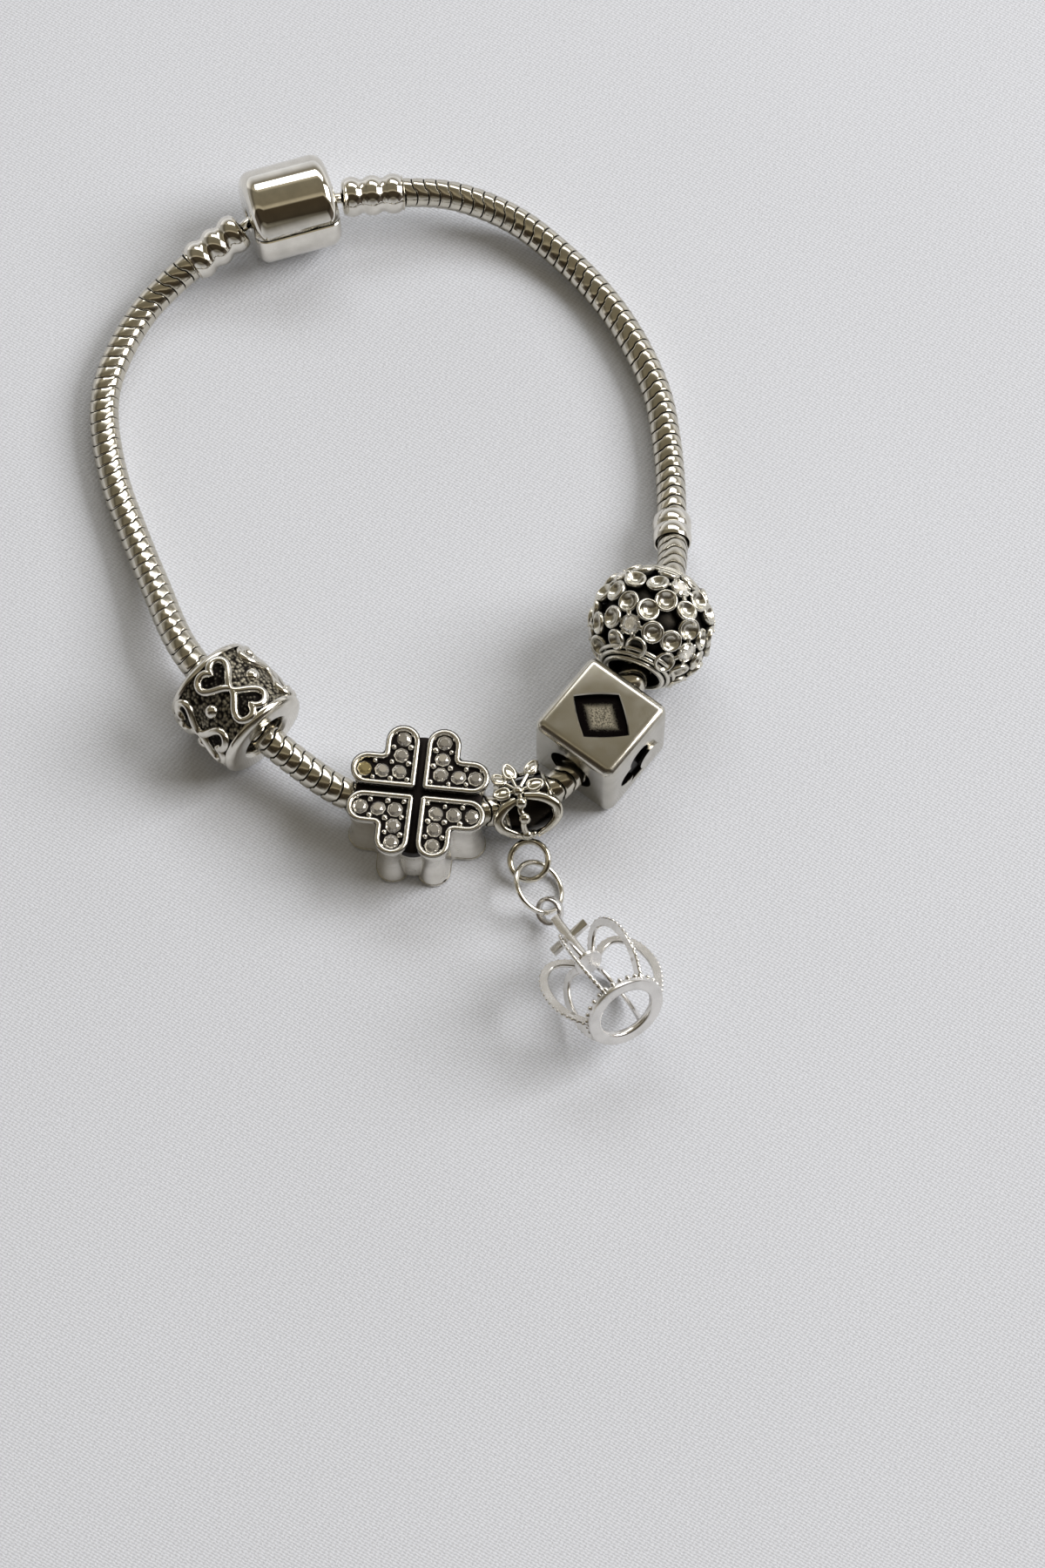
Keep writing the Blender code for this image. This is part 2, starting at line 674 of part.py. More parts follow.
def clover_bead():
    frame = Matrix.Translation((*CLOVER_AT, CLOVER_Z)) @ Matrix.Rotation(CLOVER_TURN, 4, "Z")
    leaf = recessed_leaf()
    quarter = [Matrix.Rotation(i * math.pi / 2, 4, "Z") for i in range(4)]
    core_r = CLOVER_SPAN / 2 - CLOVER_ARM * 0.35
    core_thick = CLOVER_THICK - 2 * CLOVER_GROOVE_DEPTH
    bead = part("clover_bead", cone(core_r, core_r, core_thick, 24), frame @
                Matrix.Translation((0, 0, -core_thick / 2)), metal("clover_silver", (0.6, 0.58, 0.54), 0.25))
    boolean(bead, cutter("clover_leaves", joined([(leaf, turn) for turn in quarter]), frame), "UNION")
    stone = cut_stone(STONE_D, STONE_CROWN)
    middle = (CLOVER_GROOVE + CLOVER_ARM) / 2
    last = CLOVER_SPAN / 2 - CLOVER_RIM - STONE_GAP - STONE_D / 2
    more = int((last - middle) / (STONE_D + STONE_GAP))
    pitch = (last - middle) / more
    seats = [(0, 0)] + [(i, 0) for i in range(1, more + 1)] + [(0, i) for i in range(1, more + 1)]
    floor = CLOVER_THICK / 2 - CLOVER_RECESS
    stones = []
    for flip in (Matrix(), Matrix.Rotation(math.pi, 4, "X")):
        for turn in quarter:
            for column, row in seats:
                at = (middle + column * pitch, middle + row * pitch, floor)
                stones.append((stone, flip @ turn @ Matrix.Translation(at)))
    boolean(bead, cutter("clover_stones", joined(stones), frame), "UNION")
    through = Matrix.Rotation(math.pi / 2, 4, "Y") @ Matrix.Translation((0, 0, -CLOVER_SPAN))
    bore = cone(CLOVER_BORE / 2, CLOVER_BORE / 2, 2 * CLOVER_SPAN, BEAD_SIDES)
    boolean(bead, cutter("clover_bore", bore, frame @ through), "DIFFERENCE")


def cut_stone(width, crown):
    """A round cut stone with a table and eight crown facets, sunk below z = 0 to its seat."""
    sink = crown / 4
    girdle = width / 2
    table = girdle * STONE_TABLE
    spread = (girdle - table) * sink / crown
    bm = bmesh.new()
    bmesh.ops.create_cone(bm, cap_ends=True, segments=8, radius1=girdle + spread, radius2=table,
                          depth=crown + sink, matrix=Matrix.Translation((0, 0, (crown - sink) / 2)))
    return to_mesh(bm)


def bail_bead():
    half = BAIL_LENGTH / 2
    outer = BAIL_D / 2
    end = BAIL_END_D / 2
    middle = outer - BAIL_WALL
    profile = [(end - BAIL_WALL / 3, half), (end, half - BAIL_WALL / 2),
               (outer, half / 3), (outer, -half / 3),
               (end, BAIL_WALL / 2 - half), (end - BAIL_WALL / 3, -half), (end - BAIL_WALL, -half),
               (middle, -half / 3), (middle, half / 3), (end - BAIL_WALL, half)]
    frame = placed((*BAIL_AT, BAIL_Z), level_axis(BAIL_TURN))
    bead = part("bail_bead", turned(profile, BEAD_SIDES, closed=True), frame,
                metal("bail_silver", (0.66, 0.64, 0.6), 0.2))
    window = cone(BAIL_WINDOW / math.sqrt(2), BAIL_WINDOW / math.sqrt(2), BAIL_D, 4)
    top = Vector((0, 0, 1))
    up = frame.to_3x3().inverted() @ top
    top_angle = math.atan2(up.y, up.x)
    ring_at = frame.inverted() @ Vector(BAIL_RING_AT)
    ring_angle = math.atan2(ring_at.y, ring_at.x)
    gap = (ring_angle - top_angle) % (2 * math.pi)
    angles = [top_angle + gap * 0.5]
    angles += [ring_angle + (2 * math.pi - gap) * share for share in (0.25, 0.5, 0.75)]
    outward = Matrix.Rotation(math.pi / 2, 4, "Y")
    inside = end - 1.4 * BAIL_WALL
    windows = [(window, Matrix.Rotation(angle, 4, "Z") @ Matrix.Translation((inside, 0, side * half * 0.36)) @
                outward @ Matrix.Rotation(math.pi / 4, 4, "Z")) for angle in angles for side in (-1, 1)]
    boolean(bead, cutter("bail_windows", joined(windows), frame), "DIFFERENCE")
    petal = ball(BAIL_PETAL / 2, 6, 4, (1, 0.7, 0.45))
    flower = []
    for i in range(5):
        spin = Matrix.Rotation(2 * math.pi * i / 5, 4, "Z")
        flower.append((petal, spin @ Matrix.Translation((BAIL_PETAL * 0.62, 0, 0))))
    flower.append((ball(BAIL_PETAL * 0.3, 6, 4), Matrix.Translation((0, 0, BAIL_PETAL * 0.15))))
    seat = Matrix.Rotation(top_angle, 4, "Z") @ Matrix.Translation((outer - BAIL_WALL / 3, 0, 0)) @ outward
    boolean(bead, cutter("bail_flower", joined(flower), frame @ seat), "UNION", own_overlaps=True)
    ring = ring_mesh(BAIL_RING_D, BAIL_RING_WIRE)
    boolean(bead, cutter("bail_ring", ring, placed(BAIL_RING_AT, BAIL_RING_FACES)), "UNION")


def ring_mesh(outer, wire, steps=RING_STEPS):
    middle = (outer - wire) / 2
    points = [(x, y, 0.0) for x, y in circle(middle, steps)]
    return tube(points, wire, WIRE_SIDES, closed=True)


def jump_ring():
    part("jump_ring", ring_mesh(JUMP_D, JUMP_WIRE, 20), placed(JUMP_AT, JUMP_FACES),
         metal("ring_silver", (0.8, 0.79, 0.76), 0.12))


# Line of one crown arch from the base to the hub: radius and height as shares of the bulge and the hub
ARCH_LINE = [(0.64, 0.04), (0.88, 0.3), (0.99, 0.6), (0.98, 0.9), (0.8, 1.12), (0.52, 1.16), (0.22, 1.0)]


def crown_pendant():
    base_at = Vector(CROWN_BASE_AT)
    top = Vector(CROWN_LOOP_AT) - base_at
    frame = placed(base_at, top)
    thick = CROWN_BASE_THICK
    outer = CROWN_BASE_D / 2
    inner = CROWN_BASE_HOLE / 2
    soft = thick * 0.25
    profile = [(inner + soft, thick), (outer - soft, thick), (outer, thick - soft), (outer, soft),
               (outer - soft, 0.0), (inner + soft, 0.0), (inner, soft), (inner, thick - soft)]
    crown = part("crown_pendant", turned(profile, 24, closed=True), frame,
                 metal("crown_silver", (0.82, 0.81, 0.78), 0.28))
    line = [(r * CROWN_BULGE_D / 2 - CROWN_WIRE / 2, 0.0, h * CROWN_HUB_HEIGHT) for r, h in ARCH_LINE]
    line[0] = ((outer + inner) / 2, 0.0, thick / 2)
    arch = tube(line, CROWN_WIRE, WIRE_SIDES)
    turns = [CROWN_ROLL + math.pi / 2 + 2 * math.pi * i / CROWN_ARCHES for i in range(CROWN_ARCHES)]
    arches = joined([(arch, Matrix.Rotation(turn, 4, "Z")) for turn in turns])
    boolean(crown, cutter("crown_arches", arches, frame), "UNION")
    hub = ball(CROWN_HUB_D / 2, 12, 6, (1, 1, CROWN_HUB_SQUASH))
    boolean(crown, cutter("crown_hub", hub, frame @ Matrix.Translation((0, 0, CROWN_HUB_HEIGHT))), "UNION")
    loop_height = top.length
    stem_top = loop_height - (CROWN_LOOP_D - CROWN_LOOP_WIRE) / 2
    stem = block(CROSS_BAR, CROSS_THICK, stem_top - CROWN_HUB_HEIGHT)
    bar = block(CROSS_SPAN, CROSS_THICK * 0.98, CROSS_BAR)
    cross = [(stem, Matrix.Translation((0, 0, (stem_top + CROWN_HUB_HEIGHT) / 2))),
             (bar, Matrix.Translation((0, 0, CROSS_HEIGHT)))]
    for i, (mesh, shift) in enumerate(cross):
        turn = Matrix.Rotation(-CROSS_ROLL, 4, "Z")
        boolean(crown, cutter(f"crown_cross_{i}", joined([(mesh, turn @ shift)]), frame), "UNION")
    loop = ring_mesh(CROWN_LOOP_D, CROWN_LOOP_WIRE, 14)
    boolean(crown, cutter("crown_loop", loop, placed(CROWN_LOOP_AT, CROWN_LOOP_FACES)), "UNION")


def suit_outline(suit):
    size = CUBE_SUIT
    if suit == "diamond":
        return [[(0.0, -size * 0.62), (size * 0.5, 0.0), (0.0, size * 0.62), (-size * 0.5, 0.0)]]
    if suit == "heart":
        return [[(x, y - size * 0.5) for x, y in heart_outline(size, size, 6)]]
    lobe = size * 0.24
    stem = [(-size * 0.2, -size * 0.5), (size * 0.2, -size * 0.5), (size * 0.05, size * 0.05),
            (-size * 0.05, size * 0.05)]
    lobes = [(0.0, size * 0.24), (-size * 0.25, -size * 0.1), (size * 0.25, -size * 0.1)]
    return [stem] + [[(x + cx, y + cy) for x, y in circle(lobe, 12)] for cx, cy in lobes]


def cube_bead():
    frame = Matrix.Translation((*CUBE_AT, CUBE_Z)) @ Matrix.Rotation(CUBE_TURN, 4, "Z")
    cube = part("cube_bead", block(CUBE_SIDE, CUBE_SIDE, CUBE_SIDE), frame,
                metal("cube_silver", (0.7, 0.68, 0.64), 0.22))
    edge = cube.modifiers.new("edges", "BEVEL")
    edge.width = CUBE_EDGE
    edge.segments = 3
    bore = cone(CUBE_BORE / 2, CUBE_BORE / 2, 2 * CUBE_SIDE, BEAD_SIDES)
    through = Matrix.Rotation(math.pi / 2, 4, "Y") @ Matrix.Translation((0, 0, -CUBE_SIDE))
    boolean(cube, cutter("cube_bore", bore, frame @ through), "DIFFERENCE")
    faces = {"diamond": Matrix(), "club": Matrix.Rotation(math.pi / 2, 4, "X"),
             "heart": Matrix.Rotation(-math.pi / 2, 4, "X")}
    for suit, turn in faces.items():
        lift = Matrix.Translation((0, 0, CUBE_SIDE / 2))
        for i, outline in enumerate(suit_outline(suit)):
            mesh = plate([outline], 2 * CUBE_SUIT_DEPTH)
            boolean(cube, cutter(f"cube_{suit}_{i}", mesh, frame @ turn @ lift), "DIFFERENCE")


def flower_ball():
    axis = level_axis(BALL_TURN)
    frame = placed((*BALL_AT, BALL_Z), axis, BALL_ROLL)
    half = BALL_LENGTH / 2
    core = BALL_D / 2 - BALL_RELIEF
    collar = BALL_COLLAR_D / 2
    bore = BALL_BORE / 2
    meet = math.acos(collar / core)
    rise = [meet * share for share in (1.0, 0.66, 0.33)]
    profile = [(collar, half)] + [(core * math.cos(a), core * math.sin(a)) for a in rise]
    profile += [(core, 0.0)]
    profile += [(r, -z) for r, z in reversed(profile[:-1])]
    profile += [(bore, -half), (bore, half)]
    bead = part("flower_ball", turned(profile, BEAD_SIDES, closed=True), frame,
                metal("ball_silver", (0.62, 0.6, 0.56), 0.22))
    top = BALL_D / 2 - BALL_PETAL_RISE
    foot = 0.95 * core
    taper = foot / top
    step = 2 * math.pi / BALL_FLOWERS_ROUND
    next_flower = math.asin(math.cos(BALL_LATITUDE) * math.sin(step / 2))
    next_petal = math.sin(math.pi / BALL_PETALS)
    reach = top * next_flower - BALL_FLOWER_GAP / 2
    petal_out = (reach + BALL_PETAL_GAP / 2) / (1 + next_petal)
    petal_r = reach - petal_out
    petal = cone(taper * petal_r, petal_r, top - foot, 6)
    girdle = BALL_STONE_D / 2
    stone = turned([(0.0, top), (girdle * STONE_TABLE, top), (girdle, top - STONE_CROWN),
                    (girdle * taper, foot), (0.0, foot)], 8)
    petals, stones = [], []
    for row in (-1, 1):
        for i in range(BALL_FLOWERS_ROUND):
            around = Matrix.Rotation((i + (0.5 if row > 0 else 0.0)) * step, 4, "Z")
            flower = around @ Matrix.Rotation(math.pi / 2 - row * BALL_LATITUDE, 4, "Y")
            stones.append((stone, flower))
            for k in range(BALL_PETALS):
                spin = Matrix.Rotation(2 * math.pi * (k + BALL_PETAL_ROLL) / BALL_PETALS, 4, "Z")
                lean = Matrix.Rotation(petal_out / top, 4, "Y")
                petals.append((petal, flower @ spin @ lean @ Matrix.Translation((0, 0, foot))))
    boolean(bead, cutter("ball_petals", joined(petals), frame), "UNION")
    boolean(bead, cutter("ball_stones", joined(stones), frame), "UNION")


def stopper_ring():
    half = STOPPER_LENGTH / 2
    outer = STOPPER_D / 2
    bore = CHAIN_D / 2 + STOPPER_FIT
    waist = outer * STOPPER_WAIST
    profile = [(waist, half), (outer, half * 0.75), (outer, half * 0.25), (waist, 0.0), (outer, -half * 0.25),
               (outer, -half * 0.75), (waist, -half), (bore, -half), (bore, half)]
    samples = smooth(chain_line(), 24)
    nearest = min(range(1, len(samples) - 1), key=lambda i: (samples[i].xy - Vector(STOPPER_AT)).length)
    line = samples[nearest + 1] - samples[nearest - 1]
    part("stopper_ring", turned(profile, 14, closed=True), placed(samples[nearest], line),
         metal("stopper_silver", (0.76, 0.75, 0.72), 0.15))


clear_scene()
PARTS = collection("charm_bracelet")
CUTTERS = collection("cutters")
snake_chain()
end_cap("cap_left", -1)
end_cap("cap_right", 1)
clasp()
stopper_ring()
heart_bead()
clover_bead()
bail_bead()
jump_ring()
crown_pendant()
cube_bead()
flower_ball()
bpy.context.view_layer.update()
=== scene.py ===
"""The charm bracelet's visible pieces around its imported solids, with camera, light and cloth."""

import random
from math import asin, copysign, cos, hypot, pi, radians, sin, sqrt, tau

import bmesh
import bpy
from mathutils import Matrix, Vector, noise


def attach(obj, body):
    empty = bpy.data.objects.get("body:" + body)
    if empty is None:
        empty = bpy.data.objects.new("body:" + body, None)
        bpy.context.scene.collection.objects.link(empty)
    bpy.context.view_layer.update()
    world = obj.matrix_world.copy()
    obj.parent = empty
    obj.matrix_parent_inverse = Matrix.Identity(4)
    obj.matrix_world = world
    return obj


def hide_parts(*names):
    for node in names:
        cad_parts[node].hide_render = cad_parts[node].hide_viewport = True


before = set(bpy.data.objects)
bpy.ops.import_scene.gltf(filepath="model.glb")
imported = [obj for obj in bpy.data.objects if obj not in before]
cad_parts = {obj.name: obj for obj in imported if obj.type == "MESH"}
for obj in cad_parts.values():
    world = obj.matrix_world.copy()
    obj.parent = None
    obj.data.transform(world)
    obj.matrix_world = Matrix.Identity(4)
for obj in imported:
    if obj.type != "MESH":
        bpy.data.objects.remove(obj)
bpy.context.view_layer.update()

MM = 0.001
ROOT = "bracelet"
LID = "clasp_lid_body"
UP = Vector((0, 0, 1))
WELD = 1e-7  # points closer than this are one
SHARP = 35.0

# Camera: a long lens that looks down on the cloth at the photo's angle
CAMERA_TARGET = Vector((12.36, -19.4, 0.0)) * MM
CAMERA_DISTANCE = 460.0 * MM
CAMERA_ELEVATION = radians(67.5)
LENS_SHARE = 3.0156  # focal length over the frame's long side
SENSOR_MM = 36.0

# Shared sizes, as in the solids
CHAIN_R = 1.5 * MM
LINK_PITCH = 1.2 * MM
CLASP_R = 4.8 * MM
CLASP_SKIN_R = 4.75 * MM
CLASP_HALF = 4.4 * MM
CLASP_DOME = 1.3 * MM
CLASP_WALL = 1.4 * MM
CLASP_HOLE_R = 1.2 * MM
CLASP_CAVITY_R = 2.8 * MM
CLASP_AT = Vector((-11.2, 41.7, 4.8)) * MM
CLASP_TURN = radians(17.2)
SEAM_TILT = radians(26.0)
SEAM_GAP = 0.14 * MM
KNUCKLE_R = 0.6 * MM
KNUCKLE_LENGTH = 2.2 * MM
HINGE_GAP = 0.12 * MM
SWING_GAP = 0.25 * MM
CAP_LEFT_AIM = Vector((-22.1, 35.5, 2.6)) * MM
CAP_RIGHT_AIM = Vector((1.0, 43.8, 4.45)) * MM
CAP_RIB_R = 2.05 * MM
CAP_GROOVE_R = 1.85 * MM
CAP_RIBS = 3
CAP_PITCH = 2.1 * MM
CAP_GRIP = 2.6 * MM
CAP_NECK_R = 0.55 * MM
CAP_NECK_SHOWS = 1.0 * MM

# The chain's line between its caps, repeated from the solids (mm)
ROUTE = [
    (-23.4, 34.3, 2.2), (-25.8, 31.7, 1.65), (-28.0, 27.6, 1.52), (-29.4, 23.1, 1.52), (-29.5, 19.0, 1.52),
    (-28.3, 12.8, 1.52), (-26.2, 6.8, 1.75), (-23.9, 0.9, 2.5), (-20.6, -6.9, 4.0), (-15.4, -13.5, 4.75),
    (-9.6, -18.7, 4.2), (-4.0, -22.3, 3.8), (2.4, -23.35, 3.45), (9.0, -23.7, 3.5), (12.65, -23.0, 3.4),
    (16.1, -20.8, 3.7), (19.9, -16.15, 4.25), (23.1, -10.5, 5.5), (24.9, -5.5, 5.85), (26.6, -0.6, 5.6),
    (27.1, 3.0, 4.1), (27.15, 6.5, 2.7), (27.1, 12.5, 1.6), (26.7, 17.5, 1.52), (25.8, 22.6, 1.52),
    (23.5, 28.3, 1.52), (20.6, 33.1, 1.52), (16.9, 37.4, 1.7), (11.4, 41.7, 2.6), (5.3, 43.7, 3.8),
]
STOPPER_AT = Vector((27.15, 6.5)) * MM

# Colours (linear)
SILVER = (0.74, 0.70, 0.61)
PALE_SILVER = (0.83, 0.80, 0.73)
# Dark colours for shut-in metal: oxide in its hollows, and painted shade where parts touch each other or the
# cloth
OXIDE_AND_SHADE = (0.012, 0.010, 0.009)
WARM_OXIDE_AND_SHADE = (0.05, 0.038, 0.022)


# Node helpers

def new_material(name):
    made = bpy.data.materials.new(name)
    made.use_nodes = True
    return made, made.node_tree, made.node_tree.nodes["Principled BSDF"]


def fill(node, values):
    """Constants on a node's inputs."""
    for key, value in values.items():
        node.inputs[key].default_value = value


def feed(tree, value, socket):
    """A number, a colour or another node's output put into a socket."""
    if isinstance(value, tuple):
        socket.default_value = (*value, 1.0)
    elif isinstance(value, (int, float)):
        socket.default_value = value
    else:
        tree.links.new(value, socket)


def texture_space(tree, stretch=(1, 1, 1)):
    """Object coordinates in millimetres."""
    place = tree.nodes.new("ShaderNodeTexCoord")
    scale = tree.nodes.new("ShaderNodeMapping")
    fill(scale, {"Scale": [s / MM for s in stretch]})
    tree.links.new(place.outputs["Object"], scale.inputs["Vector"])
    return scale.outputs["Vector"]


def noise_node(tree, space, size, detail=3.0, rough=0.55):
    made = tree.nodes.new("ShaderNodeTexNoise")
    fill(made, {"Scale": 1 / size, "Detail": detail, "Roughness": rough})
    tree.links.new(space, made.inputs["Vector"])
    return made.outputs["Fac"]


def remap(tree, value, low, high, to_low=0.0, to_high=1.0):
    made = tree.nodes.new("ShaderNodeMapRange")
    fill(made, {"From Min": low, "From Max": high, "To Min": to_low, "To Max": to_high})
    tree.links.new(value, made.inputs["Value"])
    return made.outputs["Result"]


def mix_colour(tree, factor, first, second):
    made = tree.nodes.new("ShaderNodeMix")
    made.data_type = "RGBA"
    for value, socket in zip((first, second), [s for s in made.inputs if s.type == "RGBA"]):
        feed(tree, value, socket)
    tree.links.new(factor, made.inputs["Factor"])
    return [s for s in made.outputs if s.type == "RGBA"][0]


def maths(tree, operation, first, second):
    made = tree.nodes.new("ShaderNodeMath")
    made.operation = operation
    for value, socket in zip((first, second), made.inputs):
        feed(tree, value, socket)
    return made.outputs[0]


def bump(tree, height, strength, distance, under=None):
    made = tree.nodes.new("ShaderNodeBump")
    fill(made, {"Strength": strength, "Distance": distance})
    tree.links.new(height, made.inputs["Height"])
    if under:
        tree.links.new(under, made.inputs["Normal"])
    return made.outputs["Normal"]


def silver(name, colour=SILVER, rough=(0.1, 0.22), reach=0.5 * MM, dark=OXIDE_AND_SHADE, oxide_and_shade_range=(0.25, 0.75),
           scratches=0.03, pits=0.0, mask=None):
    """Plated metal: bright on its high places and darkened where it is shut in, partly as oxide in its
    hollows and partly as painted shade where parts touch each other or the cloth.
    """
    made, tree, shader = new_material(name)
    space = texture_space(tree)
    fill(shader, {"Metallic": 1.0})
    patches = noise_node(tree, space, 1.6)
    fine = noise_node(tree, space, 0.18, 4.0, 0.65)
    # Ambient occlusion darkens the colour: oxide in the hollows, and painted shade where parts touch each
    # other or the cloth
    shut = tree.nodes.new("ShaderNodeAmbientOcclusion")
    shut.samples = 6
    fill(shut, {"Distance": reach})
    uneven = maths(tree, "MULTIPLY", maths(tree, "SUBTRACT", fine, 0.5), 0.35)
    pale_share = maths(tree, "ADD", shut.outputs["AO"], uneven)
    if mask:
        paint = tree.nodes.new("ShaderNodeAttribute")
        paint.attribute_name = mask
        pale_share = maths(tree, "MULTIPLY", pale_share, paint.outputs["Fac"])
    bright = remap(tree, pale_share, *oxide_and_shade_range)
    shade = tuple(c * 0.86 for c in colour)
    tone = mix_colour(tree, remap(tree, patches, 0.35, 0.65), colour, shade)
    tree.links.new(mix_colour(tree, bright, dark, tone), shader.inputs["Base Color"])
    polish = remap(tree, patches, 0.3, 0.7, *rough)
    dull = maths(tree, "MULTIPLY", maths(tree, "SUBTRACT", 1.0, bright), 0.35)
    tree.links.new(maths(tree, "ADD", polish, dull), shader.inputs["Roughness"])
    streaks = noise_node(tree, texture_space(tree, (1, 1, 6)), 0.5, 5.0, 0.7)
    normal = bump(tree, streaks, scratches, 0.02 * MM)
    if pits:
        grain = noise_node(tree, space, 0.12, 2.0)
        normal = bump(tree, grain, pits, 0.05 * MM, normal)
    tree.links.new(normal, shader.inputs["Normal"])
    return made


def clouded(name, constants, cloud_size, colours, rough_from, rough):
    """A shader whose colour and roughness drift a little from place to place."""
    made, tree, shader = new_material(name)
    fill(shader, constants)
    cloud = noise_node(tree, texture_space(tree), cloud_size)
    tree.links.new(mix_colour(tree, cloud, *colours), shader.inputs["Base Color"])
    tree.links.new(remap(tree, cloud, *rough_from, *rough), shader.inputs["Roughness"])
    return made


def glass(name, tint):
    constants = {"Transmission Weight": 0.7, "Metallic": 0.35, "IOR": 1.6}
    return clouded(name, constants, 0.7, (tint, tuple(c * 0.9 for c in tint)), (0.3, 0.8), (0.0, 0.03))


def bright_foil(name):
    """The mirror paint behind a stone, pale enough to light it from below."""
    colours = ((0.95, 0.93, 0.86), (0.72, 0.68, 0.58))
    return clouded(name, {"Metallic": 0.35}, 0.4, colours, (0.3, 0.7), (0.2, 0.4))


# Shapes

class Shape:
    """Points and faces gathered from several forms, with a material index for each face."""

    def __init__(self):
        self.points = []
        self.faces = []
        self.looks = []

    def add(self, points, faces, matrix=Matrix(), look=0):
        start = len(self.points)
        self.points += [matrix @ Vector(p) for p in points]
        self.faces += [[start + i for i in face] for face in faces]
        self.looks += [look] * len(faces)
        return self


def new_object(name, data):
    made = bpy.data.objects.new(name, data)
    bpy.context.scene.collection.objects.link(made)
    return made


def face_outward(mesh, weld=False):
    bm = bmesh.new()
    bm.from_mesh(mesh)
    if weld:
        bmesh.ops.remove_doubles(bm, verts=bm.verts, dist=WELD)
    bmesh.ops.recalc_face_normals(bm, faces=bm.faces)
    bm.to_mesh(mesh)
    bm.free()


def soften(mesh, sharp):
    """Smooth shading, except over edges sharper than so many degrees."""
    mesh.shade_smooth()
    mesh.set_sharp_from_angle(angle=radians(sharp))


def piece(name, shape, materials, node=None, body=ROOT, matrix=Matrix(), sharp=SHARP):
    mesh = bpy.data.meshes.new(name)
    mesh.from_pydata([tuple(matrix @ p) for p in shape.points], [], shape.faces)
    for material in materials:
        mesh.materials.append(material)
    mesh.polygons.foreach_set("material_index", shape.looks)
    mesh.validate()
    face_outward(mesh, weld=True)
    soften(mesh, sharp)
    made = new_object(name, mesh)
    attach(made, body)
    if node:
        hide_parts(node)
    return made


def grid_faces(rows, columns, closed_rows=False, closed_columns=True):
    faces = []
    for i in range(rows if closed_rows else rows - 1):
        for j in range(columns if closed_columns else columns - 1):
            k = (i + 1) % rows
            m = (j + 1) % columns
            faces.append([i * columns + j, i * columns + m, k * columns + m, k * columns + j])
    return faces


def circle(radius, steps, z=0.0, turn=0.0):
    """Points round Z; the turn is a share of one step."""
    angles = [tau * (i + turn) / steps for i in range(steps)]
    return [Vector((radius * cos(a), radius * sin(a), z)) for a in angles]


def lathe(profile, sides=64, closed=True):
    """(radius, height) turned about Z."""
    points = [p for radius, height in profile for p in circle(radius, sides, height)]
    return points, grid_faces(len(profile), sides, closed_rows=closed)


def in_mm(profile):
    return [(r * MM, z * MM) for r, z in profile]


def sweep(path, ups, section, closed=True, scale=None):
    """A section of (aside, up) carried along a path; ups point away from the surface."""
    count = len(path)
    points = []
    for i, (at, up) in enumerate(zip(path, ups)):
        before = path[(i - 1) % count] if closed or i else at
        after = path[(i + 1) % count] if closed or i < count - 1 else at
        along = (after - before).normalized()
        aside = along.cross(up).normalized()
        above = aside.cross(along)
        size = scale(i / max(1, count - 1)) if scale else 1.0
        for a, b in section:
            points.append(at + aside * a * size + above * b * size)
    faces = grid_faces(count, len(section), closed_rows=closed)
    if not closed:
        faces.append(list(range(len(section)))[::-1])
        faces.append([len(points) - len(section) + i for i in range(len(section))])
    return points, faces


def round_section(width, height, steps=8):
    """A half-round bead of wire with a flat foot."""
    angles = [pi * i / steps for i in range(steps + 1)]
    points = [(width / 2 * cos(a), height * sin(a)) for a in angles]
    return points + [(-width / 2, -height / 2), (width / 2, -height / 2)]


def full_section(width, height, steps=10):
    angles = [tau * i / steps for i in range(steps)]
    return [(width / 2 * cos(a), height / 2 * sin(a)) for a in angles]


def strip_section(width, height, soft):
    """A flat strip with softened edges."""
    w, h = width / 2, height / 2
    return [(w, h - soft), (w - soft, h), (soft - w, h), (-w, h - soft), (-w, soft - h), (soft - w, -h),
            (w - soft, -h), (w, soft - h)]


def dome(radius, rise, sides=14, rings=5, sink=0.0):
    """A rounded stud on z = 0."""
    points = [Vector((0, 0, rise))]
    for i in range(1, rings + 1):
        lean = pi / 2 * i / rings
        points += circle(radius * sin(lean), sides, rise * cos(lean))
    points += [(x, y, -sink) for x, y, _ in points[-sides:]]
    faces = [[0, 1 + j, 1 + (j + 1) % sides] for j in range(sides)]
    faces += [[1 + n for n in face] for face in grid_faces(rings + 1, sides)]
    return points, faces


def ball(radius, sides=12, rings=8):
    points = [Vector((0, 0, radius))]
    for i in range(1, rings):
        lean = pi * i / rings
        points += circle(radius * sin(lean), sides, radius * cos(lean))
    points.append(Vector((0, 0, -radius)))
    foot = len(points) - 1 - sides
    faces = [[0, 1 + j, 1 + (j + 1) % sides] for j in range(sides)]
    faces += [[1 + n for n in face] for face in grid_faces(rings - 1, sides)]
    faces += [[foot + sides, foot + (j + 1) % sides, foot + j] for j in range(sides)]
    return points, faces


def facing(direction, roll=0.0):
    axis = Vector(direction).normalized()
    level = UP.cross(axis)
    if level.length < 1e-6:
        level = Vector((1, 0, 0))
    level.normalize()
    turn = Matrix((level, axis.cross(level), axis)).transposed().to_4x4()
    return turn @ turned(roll)


def placed(at, direction, roll=0.0):
    return Matrix.Translation(at) @ facing(direction, roll)


def turned(angle, axis="Z"):
    return Matrix.Rotation(angle, 4, axis)


def level_axis(turn):
    return Vector((cos(turn), sin(turn), 0.0))


